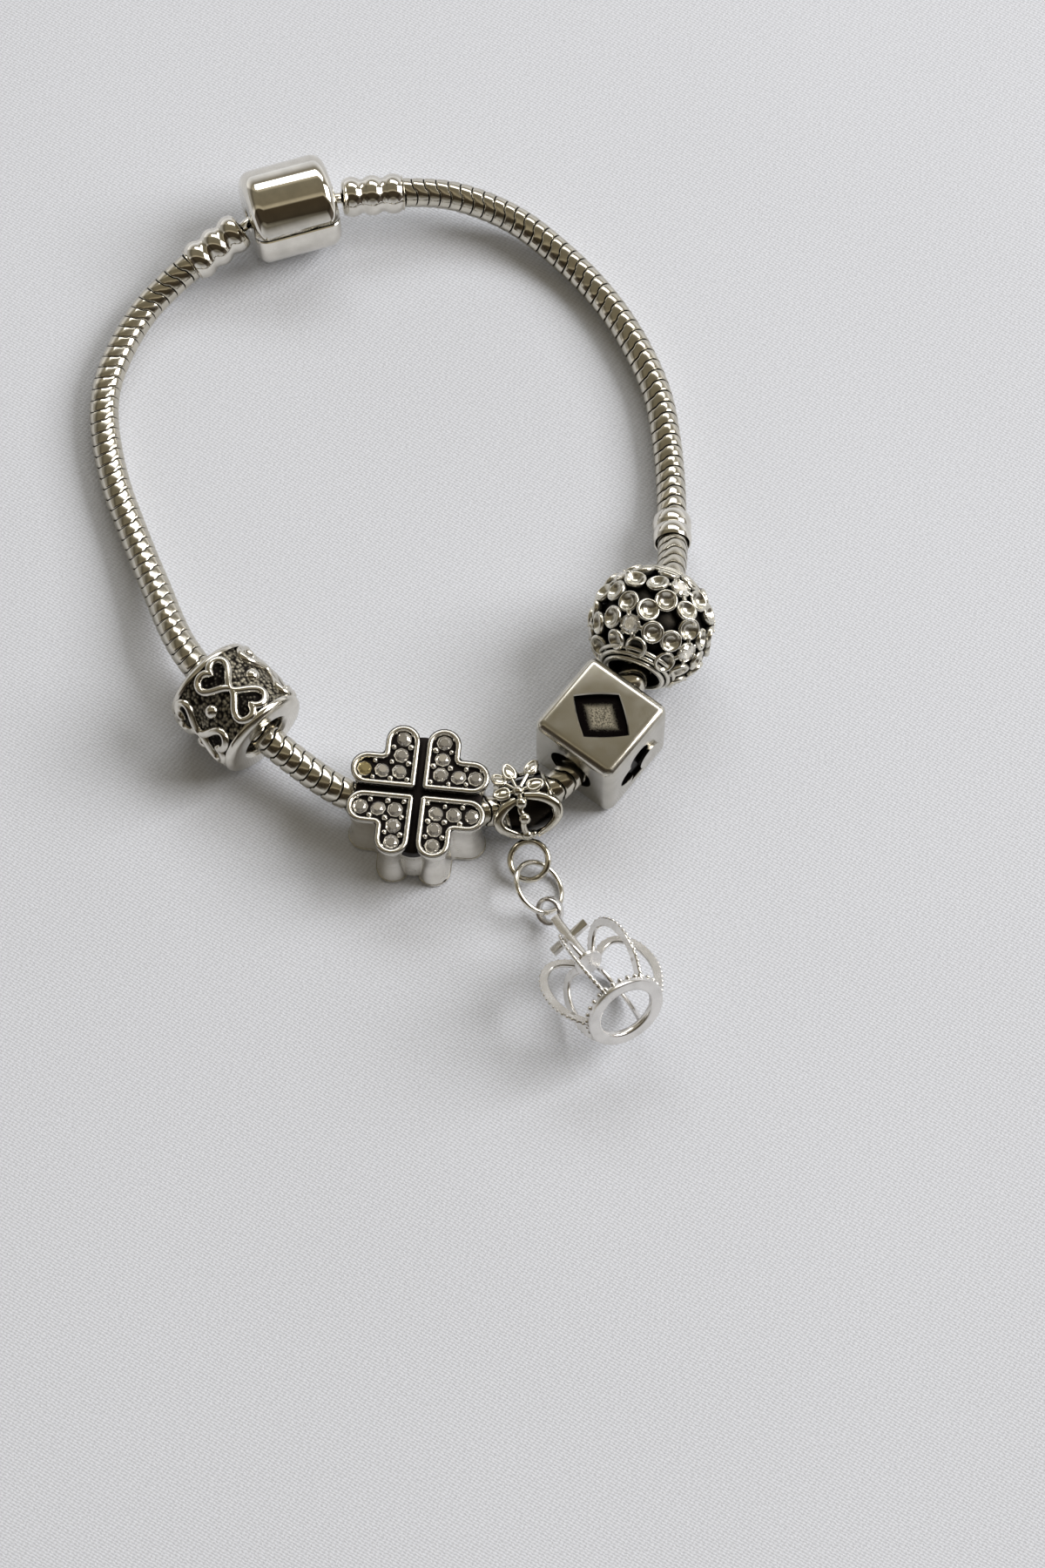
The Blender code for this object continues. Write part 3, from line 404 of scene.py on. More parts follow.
def smooth(points, share):
    """A centripetal curve through the points."""
    ends = [2 * points[0] - points[1], *points, 2 * points[-1] - points[-2]]
    samples = []
    for a, b, c, d in zip(ends, ends[1:], ends[2:], ends[3:]):
        t1 = sqrt((b - a).length)
        t2 = t1 + sqrt((c - b).length)
        t3 = t2 + sqrt((d - c).length)
        for i in range(share):
            t = t1 + (t2 - t1) * i / share
            ab = a.lerp(b, t / t1)
            bc = b.lerp(c, (t - t1) / (t2 - t1))
            cd = c.lerp(d, (t - t2) / (t3 - t2))
            samples.append(ab.lerp(bc, t / t2).lerp(bc.lerp(cd, (t - t1) / (t3 - t1)), (t - t1) / (t2 - t1)))
    samples.append(points[-1])
    return samples


def along(samples, stations):
    found, walked, i = [], 0.0, 0
    for station in stations:
        while i < len(samples) - 2 and walked + (samples[i + 1] - samples[i]).length < station:
            walked += (samples[i + 1] - samples[i]).length
            i += 1
        step = samples[i + 1] - samples[i]
        found.append(samples[i] + step * ((station - walked) / step.length))
    return found


def solid(name, shape):
    """A tool for a cut; it is removed once the cut is made."""
    mesh = bpy.data.meshes.new(name)
    mesh.from_pydata([tuple(p) for p in shape.points], [], shape.faces)
    face_outward(mesh)
    return new_object(name, mesh)


def cut(target, tools):
    """Booleans applied to the target's own mesh; the tools go."""
    for tool in tools:
        step = target.modifiers.new(tool.name, "BOOLEAN")
        step.operation = "DIFFERENCE"
        step.solver = "EXACT"
        step.object = tool
    bpy.context.view_layer.update()
    found = target.evaluated_get(bpy.context.evaluated_depsgraph_get())
    mesh = bpy.data.meshes.new_from_object(found)
    target.modifiers.clear()
    target.data = mesh
    for tool in tools:
        bpy.data.objects.remove(tool, do_unlink=True)


# Camera, light and cloth

def camera():
    data = bpy.data.cameras.new("camera")
    data.sensor_fit = "VERTICAL"
    data.sensor_height = SENSOR_MM
    data.lens = LENS_SHARE * SENSOR_MM
    data.clip_start = 0.01
    look = Vector((0, cos(CAMERA_ELEVATION), -sin(CAMERA_ELEVATION)))
    made = new_object("camera", data)
    made.location = CAMERA_TARGET - look * CAMERA_DISTANCE
    made.rotation_euler = look.to_track_quat("-Z", "Y").to_euler()
    bpy.context.scene.camera = made


def area_light(name, at, size, power, colour):
    data = bpy.data.lights.new(name, "AREA")
    data.shape = "RECTANGLE"
    data.size, data.size_y = size
    data.energy = power
    data.color = colour
    made = new_object(name, data)
    made.location = at
    made.rotation_euler = (-at).to_track_quat("-Z", "Y").to_euler()


# The room's light by height and by depth, from -1 to 1 written as 0 to 1
ROOM_BY_HEIGHT = [(0.0, (0.4, 0.4, 0.4)), (0.5, (0.66, 0.67, 0.69)), (0.62, (0.52, 0.51, 0.50)),
                  (0.74, (0.16, 0.145, 0.115)), (0.86, (0.30, 0.275, 0.215)), (1.0, (0.30, 0.27, 0.205))]
ROOM_BY_DEPTH = [(0.0, (1.0, 1.0, 1.0)), (0.1, (1.1, 1.1, 1.1)), (0.14, (0.2, 0.17, 0.14)),
                 (0.36, (0.22, 0.18, 0.14)), (0.39, (1.9, 1.85, 1.75)), (0.43, (1.5, 1.45, 1.35)),
                 (0.46, (0.8, 0.76, 0.68)), (0.74, (0.85, 0.83, 0.76)), (0.78, (2.0, 1.97, 1.9)),
                 (1.0, (1.6, 1.62, 1.66))]
ROOM_STRENGTH = 0.84
CLOTH_HALF = 3.0  # metres, far past the frame


def room():
    """A dim warm room above, a dark band in front, pale walls beyond and a window to the right."""
    world = bpy.data.worlds.new("room")
    world.use_nodes = True
    bpy.context.scene.world = world
    tree = world.node_tree
    back = tree.nodes["Background"]
    place = tree.nodes.new("ShaderNodeTexCoord")
    parts = tree.nodes.new("ShaderNodeSeparateXYZ")
    tree.links.new(place.outputs["Generated"], parts.inputs["Vector"])
    shares = {}
    for axis, stops in (("Z", ROOM_BY_HEIGHT), ("Y", ROOM_BY_DEPTH)):
        band = tree.nodes.new("ShaderNodeValToRGB")
        ramp = band.color_ramp
        for element, (position, colour) in zip(ramp.elements, (stops[0], stops[-1])):
            element.position = position
            element.color = (*colour, 1)
        for position, colour in stops[1:-1]:
            element = ramp.elements.new(position)
            element.color = (*colour, 1)
        tree.links.new(remap(tree, parts.outputs[axis], -1.0, 1.0), band.inputs["Fac"])
        shares[axis] = band.outputs["Color"]
    both = tree.nodes.new("ShaderNodeVectorMath")
    both.operation = "MULTIPLY"
    tree.links.new(shares["Z"], both.inputs[0])
    tree.links.new(shares["Y"], both.inputs[1])
    tree.links.new(both.outputs["Vector"], back.inputs["Color"])
    fill(back, {"Strength": ROOM_STRENGTH})
    area_light("window", Vector((1300, 260, 1000)) * MM, size=(0.9, 0.9), power=23.0,
               colour=(1.0, 0.985, 0.975))
    area_light("window_high", Vector((200, 1200, 1200)) * MM, size=(1.6, 0.5), power=9.0,
               colour=(0.96, 0.975, 1.0))


def cloth_floor():
    made, tree, shader = new_material("pale_cloth")
    space = texture_space(tree)
    fill(shader, {"Metallic": 0.0, "Sheen Weight": 0.15, "Specular IOR Level": 0.2, "Roughness": 0.9})
    waves = []
    for turn, scale, share in ((radians(38), 0.75, 0.55), (radians(118), 1.1, 0.4)):
        spin = tree.nodes.new("ShaderNodeMapping")
        fill(spin, {"Rotation": (0, 0, turn)})
        tree.links.new(space, spin.inputs["Vector"])
        wave = tree.nodes.new("ShaderNodeTexWave")
        fill(wave, {"Scale": scale, "Distortion": 3.2, "Detail": 2.0, "Detail Scale": 2.5})
        tree.links.new(spin.outputs["Vector"], wave.inputs["Vector"])
        waves.append(maths(tree, "MULTIPLY", wave.outputs["Fac"], share))
    weave = maths(tree, "ADD", waves[0], waves[1])
    lint = noise_node(tree, space, 0.4, 4.0)
    height = maths(tree, "ADD", weave, maths(tree, "MULTIPLY", lint, 0.8))
    tone = mix_colour(tree, remap(tree, height, 0.4, 1.2), (0.67, 0.69, 0.745), (0.79, 0.815, 0.88))
    tree.links.new(tone, shader.inputs["Base Color"])
    folds = noise_node(tree, space, 60.0, 1.0)
    normal = bump(tree, height, 0.3, 0.12 * MM)
    tree.links.new(bump(tree, folds, 0.3, 3 * MM, normal), shader.inputs["Normal"])
    mesh = bpy.data.meshes.new("cloth")
    corners = [(x * CLOTH_HALF, y * CLOTH_HALF, 0) for x, y in ((-1, -1), (1, -1), (1, 1), (-1, 1))]
    mesh.from_pydata(corners, [], [(0, 1, 2, 3)])
    mesh.materials.append(made)
    floor = new_object("cloth", mesh)


# Clasp and caps

def clasp_frame():
    axis = level_axis(CLASP_TURN)
    inward = axis.cross(UP)
    seam = inward * cos(SEAM_TILT) + Vector((0, 0, sin(SEAM_TILT)))
    lid = seam.cross(axis)
    turn = Matrix((seam, lid, -axis)).transposed().to_4x4()
    turn.translation = CLASP_AT
    return turn, axis


def clasp_profile():
    """The barrel's wall in section, round its outside and back through its hollow."""
    bend = [radians(a) for a in (90, 82, 70, 58, 46, 34, 22, 10, 0)]
    straight = CLASP_HALF - CLASP_DOME
    flat = CLASP_SKIN_R - CLASP_DOME
    ends = [(flat + CLASP_DOME * cos(a), straight + CLASP_DOME * sin(a)) for a in bend]
    rim = 0.12 * MM
    inside = CLASP_HALF - CLASP_WALL
    outer = [(CLASP_HOLE_R, CLASP_HALF - rim), (CLASP_HOLE_R + rim, CLASP_HALF), *ends]
    hollow = [(CLASP_HOLE_R, -inside), (CLASP_CAVITY_R, -inside), (CLASP_CAVITY_R, inside),
              (CLASP_HOLE_R, inside)]
    return outer + [(r, -z) for r, z in reversed(outer)] + hollow


def half_shell(name, start, body, material):
    """Half of the barrel, from the start angle through half a turn, with soft seam edges."""
    profile = clasp_profile()
    margin = asin(SEAM_GAP / 2 / CLASP_R)
    steps = 72
    soft = 0.1 * MM
    angles = [start + margin + (pi - 2 * margin) * i / steps for i in range(steps + 1)]
    points = []
    for i, angle in enumerate(angles):
        pull = soft if i in (0, steps) else 0.0
        for radius, height in profile:
            r = max(radius - pull, 0.5 * MM) if radius > CLASP_CAVITY_R else radius
            points.append((r * cos(angle), r * sin(angle), height))
        if i == 0:
            angles[1] = angle + soft / CLASP_R
        if i == steps - 2:
            angles[steps - 1] = angles[steps] - soft / CLASP_R
    count = len(profile)
    faces = grid_faces(steps + 1, count)
    faces += [list(range(count))[::-1], [steps * count + i for i in range(count)]]
    turn, _ = clasp_frame()
    shell = piece(name, Shape().add(points, faces), [material], body=body, matrix=turn)
    hinge = Matrix.Translation((-(CLASP_R - KNUCKLE_R), 0, 0))
    inner = 0.5 * KNUCKLE_LENGTH
    outer = inner + HINGE_GAP
    middle_run = [(-inner, inner)]
    side_runs = [(outer, outer + KNUCKLE_LENGTH), (-outer - KNUCKLE_LENGTH, -outer)]
    ends = [(inner, CLASP_HALF + MM), (-CLASP_HALF - MM, -inner)]
    own, rooms = (middle_run, ends) if body == LID else (side_runs, [(-outer, outer)])
    tools = []
    for i, (low, high) in enumerate(rooms):
        rod, sides = lathe([(KNUCKLE_R + SWING_GAP, high), (KNUCKLE_R + SWING_GAP, low)], 32, closed=False)
        caps = [list(range(32)), list(range(32, 64))[::-1]]
        tools.append(solid(f"room_{i}", Shape().add(rod, sides + caps, turn @ hinge)))
    cut(shell, tools)
    soften(shell.data, SHARP)
    knuckles = Shape()
    bevel = 0.08 * MM
    for low, high in own:
        rod = [(0.0, high), (KNUCKLE_R - bevel, high), (KNUCKLE_R, high - bevel), (KNUCKLE_R, low + bevel),
               (KNUCKLE_R - bevel, low), (0.0, low)]
        knuckles.add(*lathe(rod, 24, closed=False), hinge)
    piece(name + "_knuckles", knuckles, [material], body=body, matrix=turn)
    return shell


def clasp():
    polish = silver("clasp_polish", PALE_SILVER, (0.035, 0.08), 0.35 * MM, WARM_OXIDE_AND_SHADE, (0.1, 0.4), 0.02)
    base = half_shell("clasp_base_shell", pi, ROOT, polish)
    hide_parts("clasp_base")
    lid = half_shell("clasp_lid_shell", 0.0, LID, polish)
    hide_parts("clasp_lid")


def cap_line(side):
    _, axis = clasp_frame()
    start = CLASP_AT + side * axis * (CLASP_HALF - CLASP_WALL / 2)
    aim = CAP_RIGHT_AIM if side > 0 else CAP_LEFT_AIM
    return start, (aim - start).normalized()


def end_cap(name, node, side, material):
    start, line = cap_line(side)
    shoulder = -CLASP_WALL / 2 - CAP_NECK_SHOWS
    knob = 1.2 * MM
    knob_at = CLASP_WALL / 2 + knob + HINGE_GAP
    profile = [(0.0, knob_at + knob)]
    profile += [(knob * sin(a), knob_at + knob * cos(a)) for a in (0.4, 0.8, 1.2, 1.6, 2.0, 2.4)]
    profile += [(CAP_NECK_R, knob_at - knob * 0.9), (CAP_NECK_R, shoulder + 0.15 * MM),
                (CAP_NECK_R + 0.15 * MM, shoulder), (CAP_GROOVE_R * 0.75, shoulder)]
    groove = CAP_GROOVE_R * 0.93
    for i in range(CAP_RIBS):
        top = shoulder - i * CAP_PITCH
        for share in range(9):
            swell = sin(pi * share / 8) ** 0.8
            height = top - CAP_PITCH * (0.06 + 0.86 * share / 8)
            profile.append((groove + (CAP_RIB_R - groove) * swell, height))
    tail = shoulder - CAP_RIBS * CAP_PITCH
    profile += [(CAP_GROOVE_R, tail + 0.05 * MM), (CAP_GROOVE_R - 0.06 * MM, tail),
                (CHAIN_R + 0.08 * MM, tail), (CHAIN_R + 0.05 * MM, tail + CAP_GRIP)]
    shape = Shape().add(*lathe(profile, 56, closed=False))
    piece(name, shape, [material], node, matrix=placed(start, -line), sharp=50)


def caps():
    polish = silver("cap_polish", PALE_SILVER, (0.05, 0.1), 0.4 * MM, WARM_OXIDE_AND_SHADE, (0.2, 0.55), 0.02)
    end_cap("cap_left_ribs", "cap_left", -1, polish)
    end_cap("cap_right_ribs", "cap_right", 1, polish)


# Snake chain

def chain_line():
    ends = []
    length = CLASP_WALL / 2 + CAP_NECK_SHOWS + CAP_RIBS * CAP_PITCH
    for side in (-1, 1):
        start, line = cap_line(side)
        tail = start + line * length
        ends.append((tail - line * CAP_GRIP, tail))
    return smooth([*ends[0], *[Vector(p) * MM for p in ROUTE], *reversed(ends[1])], 24)


# One link in section: share of the pitch along the chain, share of the chain's radius
LINK_SECTION = [(-0.47, 0.8), (-0.48, 0.93), (-0.44, 0.985), (-0.34, 1.0), (0.0, 0.998), (0.28, 0.99),
                (0.4, 0.965), (0.46, 0.91), (0.47, 0.8)]
LINK_SIDES = 48
LINK_WAVES = 2  # a link rises twice round the chain, so its plates sit in four staggered rows
LINK_SQUARE = 0.06


def snake_chain():
    samples = chain_line()
    length = sum((b - a).length for a, b in zip(samples, samples[1:]))
    links = round(length / LINK_PITCH)
    reach = 8
    stations = [length * i / (links * reach) for i in range(links * reach + 1)]
    points = along(samples, stations)
    frames = []
    for i, at in enumerate(points):
        line = (points[min(i + 1, len(points) - 1)] - points[max(i - 1, 0)]).normalized()
        aside = line.cross(UP).normalized()
        frames.append((at, line, aside, aside.cross(line)))
    shape = Shape()
    for k in range(links):
        rows = []
        for offset, share in LINK_SECTION:
            for j in range(LINK_SIDES):
                angle = tau * j / LINK_SIDES
                wave = cos(LINK_WAVES * (angle - radians(62)))
                shift = 0.25 * copysign(abs(wave) ** 0.55, wave)
                station = (k + 0.5 + offset + shift) * reach
                station = min(max(station, 0.0), len(points) - 1.001)
                i = int(station)
                part = station - i
                (a, line, aside, up), b = frames[i], frames[i + 1][0]
                square = 1 + LINK_SQUARE * (abs(wave) ** 1.5 - 0.6)
                radius = CHAIN_R * share * min(square, 1.0)
                rows.append(a.lerp(b, part) + (aside * cos(angle) + up * sin(angle)) * radius)
        shape.add(rows, grid_faces(len(LINK_SECTION), LINK_SIDES))
    # A near-black core inside the links: painted shade seen through the gaps between the plates
    core = [frames[i][0] for i in range(0, len(frames), 4)]
    ups = [frames[i][3] for i in range(0, len(frames), 4)]
    shape.add(*sweep(core, ups, full_section(CHAIN_R * 1.5, CHAIN_R * 1.5, 12), closed=False), look=1)
    plate = silver("chain_plate", (0.66, 0.625, 0.54), (0.1, 0.2), 0.3 * MM, (0.012, 0.012, 0.008),
                   (0.42, 0.72), 0.06)
    # Dark core metal: painted shade between the plates
    core_painted_shade = silver("chain_core_shade", (0.12, 0.11, 0.1), (0.4, 0.6))
    piece("chain_links", shape, [plate, core_painted_shade], "snake_chain", sharp=40)


def stopper_ring():
    half, outer, bore = 1.65 * MM, 1.95 * MM, CHAIN_R + 0.14 * MM
    profile = [(bore, half - 0.1 * MM), (bore + 0.1 * MM, half)]
    for i in range(25):
        share = i / 24
        swell = abs(sin(tau * share)) ** 0.6
        profile.append((outer * (0.91 + 0.09 * swell), half - 2 * half * share))
    profile += [(bore + 0.1 * MM, -half), (bore, 0.1 * MM - half)]
    samples = chain_line()
    nearest = min(range(1, len(samples) - 1), key=lambda i: (samples[i].xy - STOPPER_AT).length)
    line = samples[nearest + 1] - samples[nearest - 1]
    polish = silver("stopper_polish", PALE_SILVER, (0.06, 0.12), 0.35 * MM, WARM_OXIDE_AND_SHADE, (0.2, 0.5), 0.03)
    piece("stopper_ribs", Shape().add(*lathe(profile, 56)), [polish], "stopper_ring",
          matrix=placed(samples[nearest], line), sharp=50)


# Heart bead

HEART_R = 5.15 * MM
HEART_HALF = 4.35 * MM
HEART_GROUND = 4.5 * MM
HEART_BORE = 2.3 * MM
HEART_WIRE = 0.86 * MM
HEART_WIDE = 4.1 * MM
HEART_TALL = 3.15 * MM
HEART_PAIRS = 5
HEART_AT = Vector((-15.4, -13.5, 5.15)) * MM
HEART_TURN = radians(-46.0)
HEART_ROLL = radians(21.0)
HEART_TILT = radians(8.0)
HEART_TIP = 0.12 * MM


def heart_path(width, height, steps):
    """Heart points from its tip round, tip at the origin and lobes up +Y."""
    points = []
    for i in range(steps):
        t = pi + tau * i / steps
        x = sin(t) ** 3
        y = (13 * cos(t) - 5 * cos(2 * t) - 2 * cos(3 * t) - cos(4 * t) + 17) / 29
        points.append((x * width / 2, y * height))
    return points


def inside(outline, x, y):
    """Whether a point lies in a closed outline, by counting the sides it passes."""
    found = False
    for (x0, y0), (x1, y1) in zip(outline, outline[1:] + outline[:1]):
        if (y0 > y) != (y1 > y) and x < x0 + (y - y0) / (y1 - y0) * (x1 - x0):
            found = not found
    return found


def heart_bead():
    matrix = placed(HEART_AT, level_axis(HEART_TURN), HEART_ROLL)
    bright = silver("heart_bright", (0.74, 0.71, 0.64), (0.1, 0.2), 0.5 * MM, OXIDE_AND_SHADE, (0.3, 0.7), 0.05)
    dark = silver("heart_ground", (0.5, 0.46, 0.36), (0.25, 0.45), 0.5 * MM, OXIDE_AND_SHADE, (0.15, 0.9), 0.0,
                  mask="wear")
    shape = Shape()
    rim = HEART_HALF - 0.85 * MM
    r0 = HEART_R - 0.35 * MM
    end = [(HEART_BORE, HEART_HALF - 0.5 * MM), (HEART_BORE + 0.12 * MM, HEART_HALF - 0.2 * MM),
           (HEART_BORE + 0.4 * MM, HEART_HALF), (r0 - 0.75 * MM, HEART_HALF),
           (r0 - 0.35 * MM, HEART_HALF - 0.1 * MM), (r0 - 0.08 * MM, HEART_HALF - 0.35 * MM),
           (r0, HEART_HALF - 0.6 * MM), (r0 - 0.05 * MM, rim + 0.05 * MM), (r0 - 0.2 * MM, rim),
           (HEART_GROUND - 0.4 * MM, rim)]
    for side in (1, -1):
        shape.add(*lathe([(r, z * side) for r, z in end], 96, closed=False))
    bore = [(HEART_BORE, HEART_HALF - 0.5 * MM), (HEART_BORE, 0.5 * MM - HEART_HALF)]
    shape.add(*lathe(bore, 96, closed=False))
    step = tau / HEART_PAIRS
    section = round_section(HEART_WIRE, 0.52 * MM)
    outline = heart_path(HEART_WIDE, HEART_TALL, 56)
    for pair in range(HEART_PAIRS):
        for way in (0, 1):
            path, ups = [], []
            for x, y in outline:
                y += HEART_TIP
                if way:
                    x, y = -x, -y
                u = x * cos(HEART_TILT) - y * sin(HEART_TILT)
                v = x * sin(HEART_TILT) + y * cos(HEART_TILT)
                angle = pair * step + u / HEART_R
                out = Vector((cos(angle), sin(angle), 0))
                swell = 0.08 * MM * cos(v / HEART_HALF * pi / 2)
                path.append(out * (HEART_GROUND + 0.03 * MM + swell) + Vector((0, 0, v)))
                ups.append(out)
            shape.add(*sweep(path, ups, section))
        turn = turned((pair + 0.5) * step)
        seat = turn @ Matrix.Translation((HEART_GROUND, 0, 0)) @ turned(pi / 2, "Y")
        shape.add(*dome(0.74 * MM, 0.62 * MM, 24, 7, 0.2 * MM), seat)
    piece("heart_relief", shape, [bright], "heart_bead", matrix=matrix)
    rows, sides = 84, 300
    ground, wear = [], []
    for i in range(rows + 1):
        z = -rim + 2 * rim * i / rows
        for j in range(sides):
            angle = tau * j / sides
            at = Vector((HEART_GROUND * cos(angle), HEART_GROUND * sin(angle), z))
            near = noise.voronoi(at / (0.36 * MM))[0][0]
            grain = max(0.0, 1 - near * 1.5)
            out = HEART_GROUND + (0.02 + 0.14 * grain) * MM
            ground.append((out * cos(angle), out * sin(angle), z))
            apart = (angle / step + 0.5) % 1 * step - step / 2
            u, v = HEART_R * apart, z
            x = u * cos(HEART_TILT) + v * sin(HEART_TILT)
            y = v * cos(HEART_TILT) - u * sin(HEART_TILT)
            if y < 0:
                x, y = -x, -y
            shade = 0.4 if inside(outline, x, y - HEART_TIP) else 1.0
            wear.append((0.15 + 0.9 * grain) * shade)
    made = piece("heart_ground", Shape().add(ground, grid_faces(rows + 1, sides)), [dark],
                 matrix=matrix, sharp=80)
    layer = made.data.attributes.new("wear", "FLOAT", "POINT")
    if len(made.data.vertices) == len(wear):
        layer.data.foreach_set("value", wear)


# Clover bead

CLOVER_HALF = 3.85 * MM
CLOVER_REACH = 6.7 * MM
CLOVER_ARM = 3.3 * MM
CLOVER_GROOVE = 0.65 * MM
CLOVER_RIM = 0.55 * MM
CLOVER_AT = Vector((2.37, -23.3, 3.85)) * MM
CLOVER_TURN = radians(-6.0)
STONE_R = 0.7 * MM
STONE_PITCH = 1.68 * MM
PRONG_R = 0.3 * MM
SEATS = [(0, 0), (1, 0), (2, 0), (0, 1), (0, 2)]
PRONGS = [(0.52, 0.52), (1.45, 0.5), (0.5, 1.45), (0.5, -0.46), (1.5, -0.46), (-0.46, 0.5), (-0.46, 1.5),
          (-0.5, -0.5), (2.35, 0.56), (0.56, 2.35), (2.3, -0.6), (-0.6, 2.3)]


def arc(x, y, radius, start, run, steps):
    """Points in plan on part of a circle, both ends counted."""
    angles = [start + run * i / steps for i in range(steps + 1)]
    return [(x + radius * cos(a), y + radius * sin(a)) for a in angles]


def leaf_path(inset, steps=12):
    """A heart leaf in plan, its square corner towards the bead's middle, shrunk by the inset."""
    low = CLOVER_GROOVE / 2 + inset
    high = CLOVER_GROOVE / 2 + CLOVER_ARM - inset
    lobe = (high - low) / 2
    middle = (low + high) / 2
    end = CLOVER_REACH - inset - lobe
    corner = 0.15 * MM
    notch = min(0.5 * MM, 0.4 * MM + inset)
    quarter = pi / 2
    side = [low + (end - low) * i / 6 for i in range(1, 6)]
    return [*arc(low + corner, low + corner, corner, pi, quarter, 4), *[(x, low) for x in side],
            *arc(end, middle, lobe, -quarter, pi, steps),
            *arc(high + notch, high + notch, notch, -quarter, -quarter, 6),
            *arc(middle, end, lobe, 0.0, pi, steps), *[(low, y) for y in reversed(side)]]


def cut_stone(radius, crown, deep, table=0.58, facets=8):
    """A brilliant with a table, star and main facets, a thin girdle and a pavilion."""
    girdle = 0.03 * MM
    points = circle(radius * table, facets, crown) + circle(radius * 0.84, facets, crown * 0.52, 0.5)
    points += circle(radius, facets, girdle) + circle(radius, facets, -girdle) + [(0, 0, -deep)]
    faces = [list(range(facets))]
    for j in range(facets):
        m = (j + 1) % facets
        a, b, c = j, facets + j, 2 * facets + j
        faces.append([a, b, m])
        faces.append([b, 2 * facets + m, m])
        faces.append([a, c, b])
        faces.append([b, c, 2 * facets + m])
        faces.append([c, 3 * facets + j, 3 * facets + m, 2 * facets + m])
        faces.append([3 * facets + j, 4 * facets, 3 * facets + m])
    return points, faces


def clover_bead():
    matrix = Matrix.Translation(CLOVER_AT) @ turned(CLOVER_TURN)
    satin = silver("clover_satin", (0.88, 0.85, 0.78), (0.16, 0.3), 0.4 * MM, OXIDE_AND_SHADE, (0.22, 0.6), 0.06, 0.04)
    black = silver("clover_ground", (0.018, 0.015, 0.014), (0.35, 0.5), 0.5 * MM, (0.004, 0.003, 0.004),
                   (0.3, 1.0), 0.0, 0.4)
    foil = bright_foil("stone_foil")
    shape = Shape()
    quarters = [turned(i * pi / 2) for i in range(4)]
    flips = [Matrix(), turned(pi, "X")]
    levels = [0.0, 0.14, 0.28, 0.42, 0.56, 0.7, 0.82, 0.92, 0.975]
    levels = [-z for z in reversed(levels[1:])] + levels
    rim_mid = CLOVER_RIM / 2
    for turn in quarters:
        rows = []
        for share in levels:
            waist = 0.42 * MM * cos(share * pi / 2) ** 1.4
            rows += [(x, y, share * CLOVER_HALF) for x, y in leaf_path(waist)]
        count = len(leaf_path(0.0))
        shape.add(rows, grid_faces(len(levels), count), turn)
        for flip in flips:
            path = [Vector((x, y, CLOVER_HALF - 0.3 * MM)) for x, y in leaf_path(rim_mid)]
            shape.add(*sweep(path, [UP] * count, round_section(CLOVER_RIM, 0.3 * MM, 8)),
                      flip @ turn)
            floor = [(x, y, CLOVER_HALF - 0.45 * MM) for x, y in leaf_path(rim_mid)]
            shape.add(floor, [list(range(count))], flip @ turn, look=1)
    core, sides = [], 128
    core_levels = [(-0.8, 0.93), (-0.76, 0.99), (0.0, 0.97), (0.4, 0.985), (0.52, 1.0), (0.72, 0.98),
                   (0.76, 0.9)]
    for share, size in core_levels:
        for j in range(sides):
            angle = tau * j / sides
            radius = (4.7 + 1.45 * cos(2 * angle) ** 2) * MM * size
            core.append((radius * cos(angle), radius * sin(angle), share * CLOVER_HALF))
    shape.add(core[:5 * sides], grid_faces(5, sides))
    shape.add(core[4 * sides:], grid_faces(3, sides), look=1)
    for end in (0, len(core_levels) - 1):
        shape.add(core[end * sides:(end + 1) * sides], [list(range(sides))], look=1)
    chance = random.Random(7)
    middle = (CLOVER_GROOVE + CLOVER_ARM) / 2
    seat_height = CLOVER_HALF - 0.42 * MM
    for flip in flips:
        for turn in quarters:
            for column, row in PRONGS:
                at = (middle + column * STONE_PITCH + chance.uniform(-0.08, 0.08) * MM,
                      middle + row * STONE_PITCH + chance.uniform(-0.08, 0.08) * MM, seat_height)
                shape.add(*dome(PRONG_R * chance.uniform(0.85, 1.1), 0.36 * MM, 12, 5, 0.1 * MM),
                          flip @ turn @ Matrix.Translation(at))
    piece("clover_body", shape, [satin, black], "clover_bead", matrix=matrix, sharp=50)
    gems, foils = Shape(), Shape()
    for f, flip in enumerate(flips):
        for q, turn in enumerate(quarters):
            for s, (column, row) in enumerate(SEATS):
                at = Matrix.Translation((middle + column * STONE_PITCH, middle + row * STONE_PITCH,
                                         seat_height))
                spin = turned(chance.uniform(0, 0.78))
                lean = turned(chance.uniform(-0.2, 0.2), "X")
                place = flip @ turn @ at @ spin @ lean
                yellow = f == 0 and q == 1 and s == 4
                gems.add(*cut_stone(STONE_R, 0.3 * MM, 0.42 * MM), place, look=1 if yellow else 0)
                cup = [(STONE_R + 0.09 * MM, -0.06 * MM), (STONE_R + 0.04 * MM, 0.03 * MM),
                       (STONE_R * 0.98, -0.05 * MM), (0.0, -0.5 * MM)]
                foils.add(*lathe(cup, 8, closed=False), place)
    clear = glass("clear_stone", (0.99, 0.95, 0.88))
    amber = glass("amber_stone", (0.9, 0.74, 0.36))
    stones = piece("clover_stones", gems, [clear, amber], matrix=matrix, sharp=5)
    stones.visible_shadow = False
    piece("clover_foils", foils, [foil], matrix=matrix, sharp=5)


# Bail bead and rings

BAIL_AT = Vector((12.65, -23.0, 3.4)) * MM
BAIL_TURN = radians(17.0)
BAIL_RING_AT = Vector((13.0, -28.1, 1.75)) * MM
BAIL_RING_FACES = Vector((-0.2, -0.3, 0.93))
JUMP_AT = Vector((13.95, -30.88, 1.8)) * MM
JUMP_FACES = Vector((0.56, 0.1, 0.82))


def ring(middle, wire, steps=72, sides=14):
    return sweep(circle(middle, steps), [UP] * steps, full_section(wire, wire, sides))


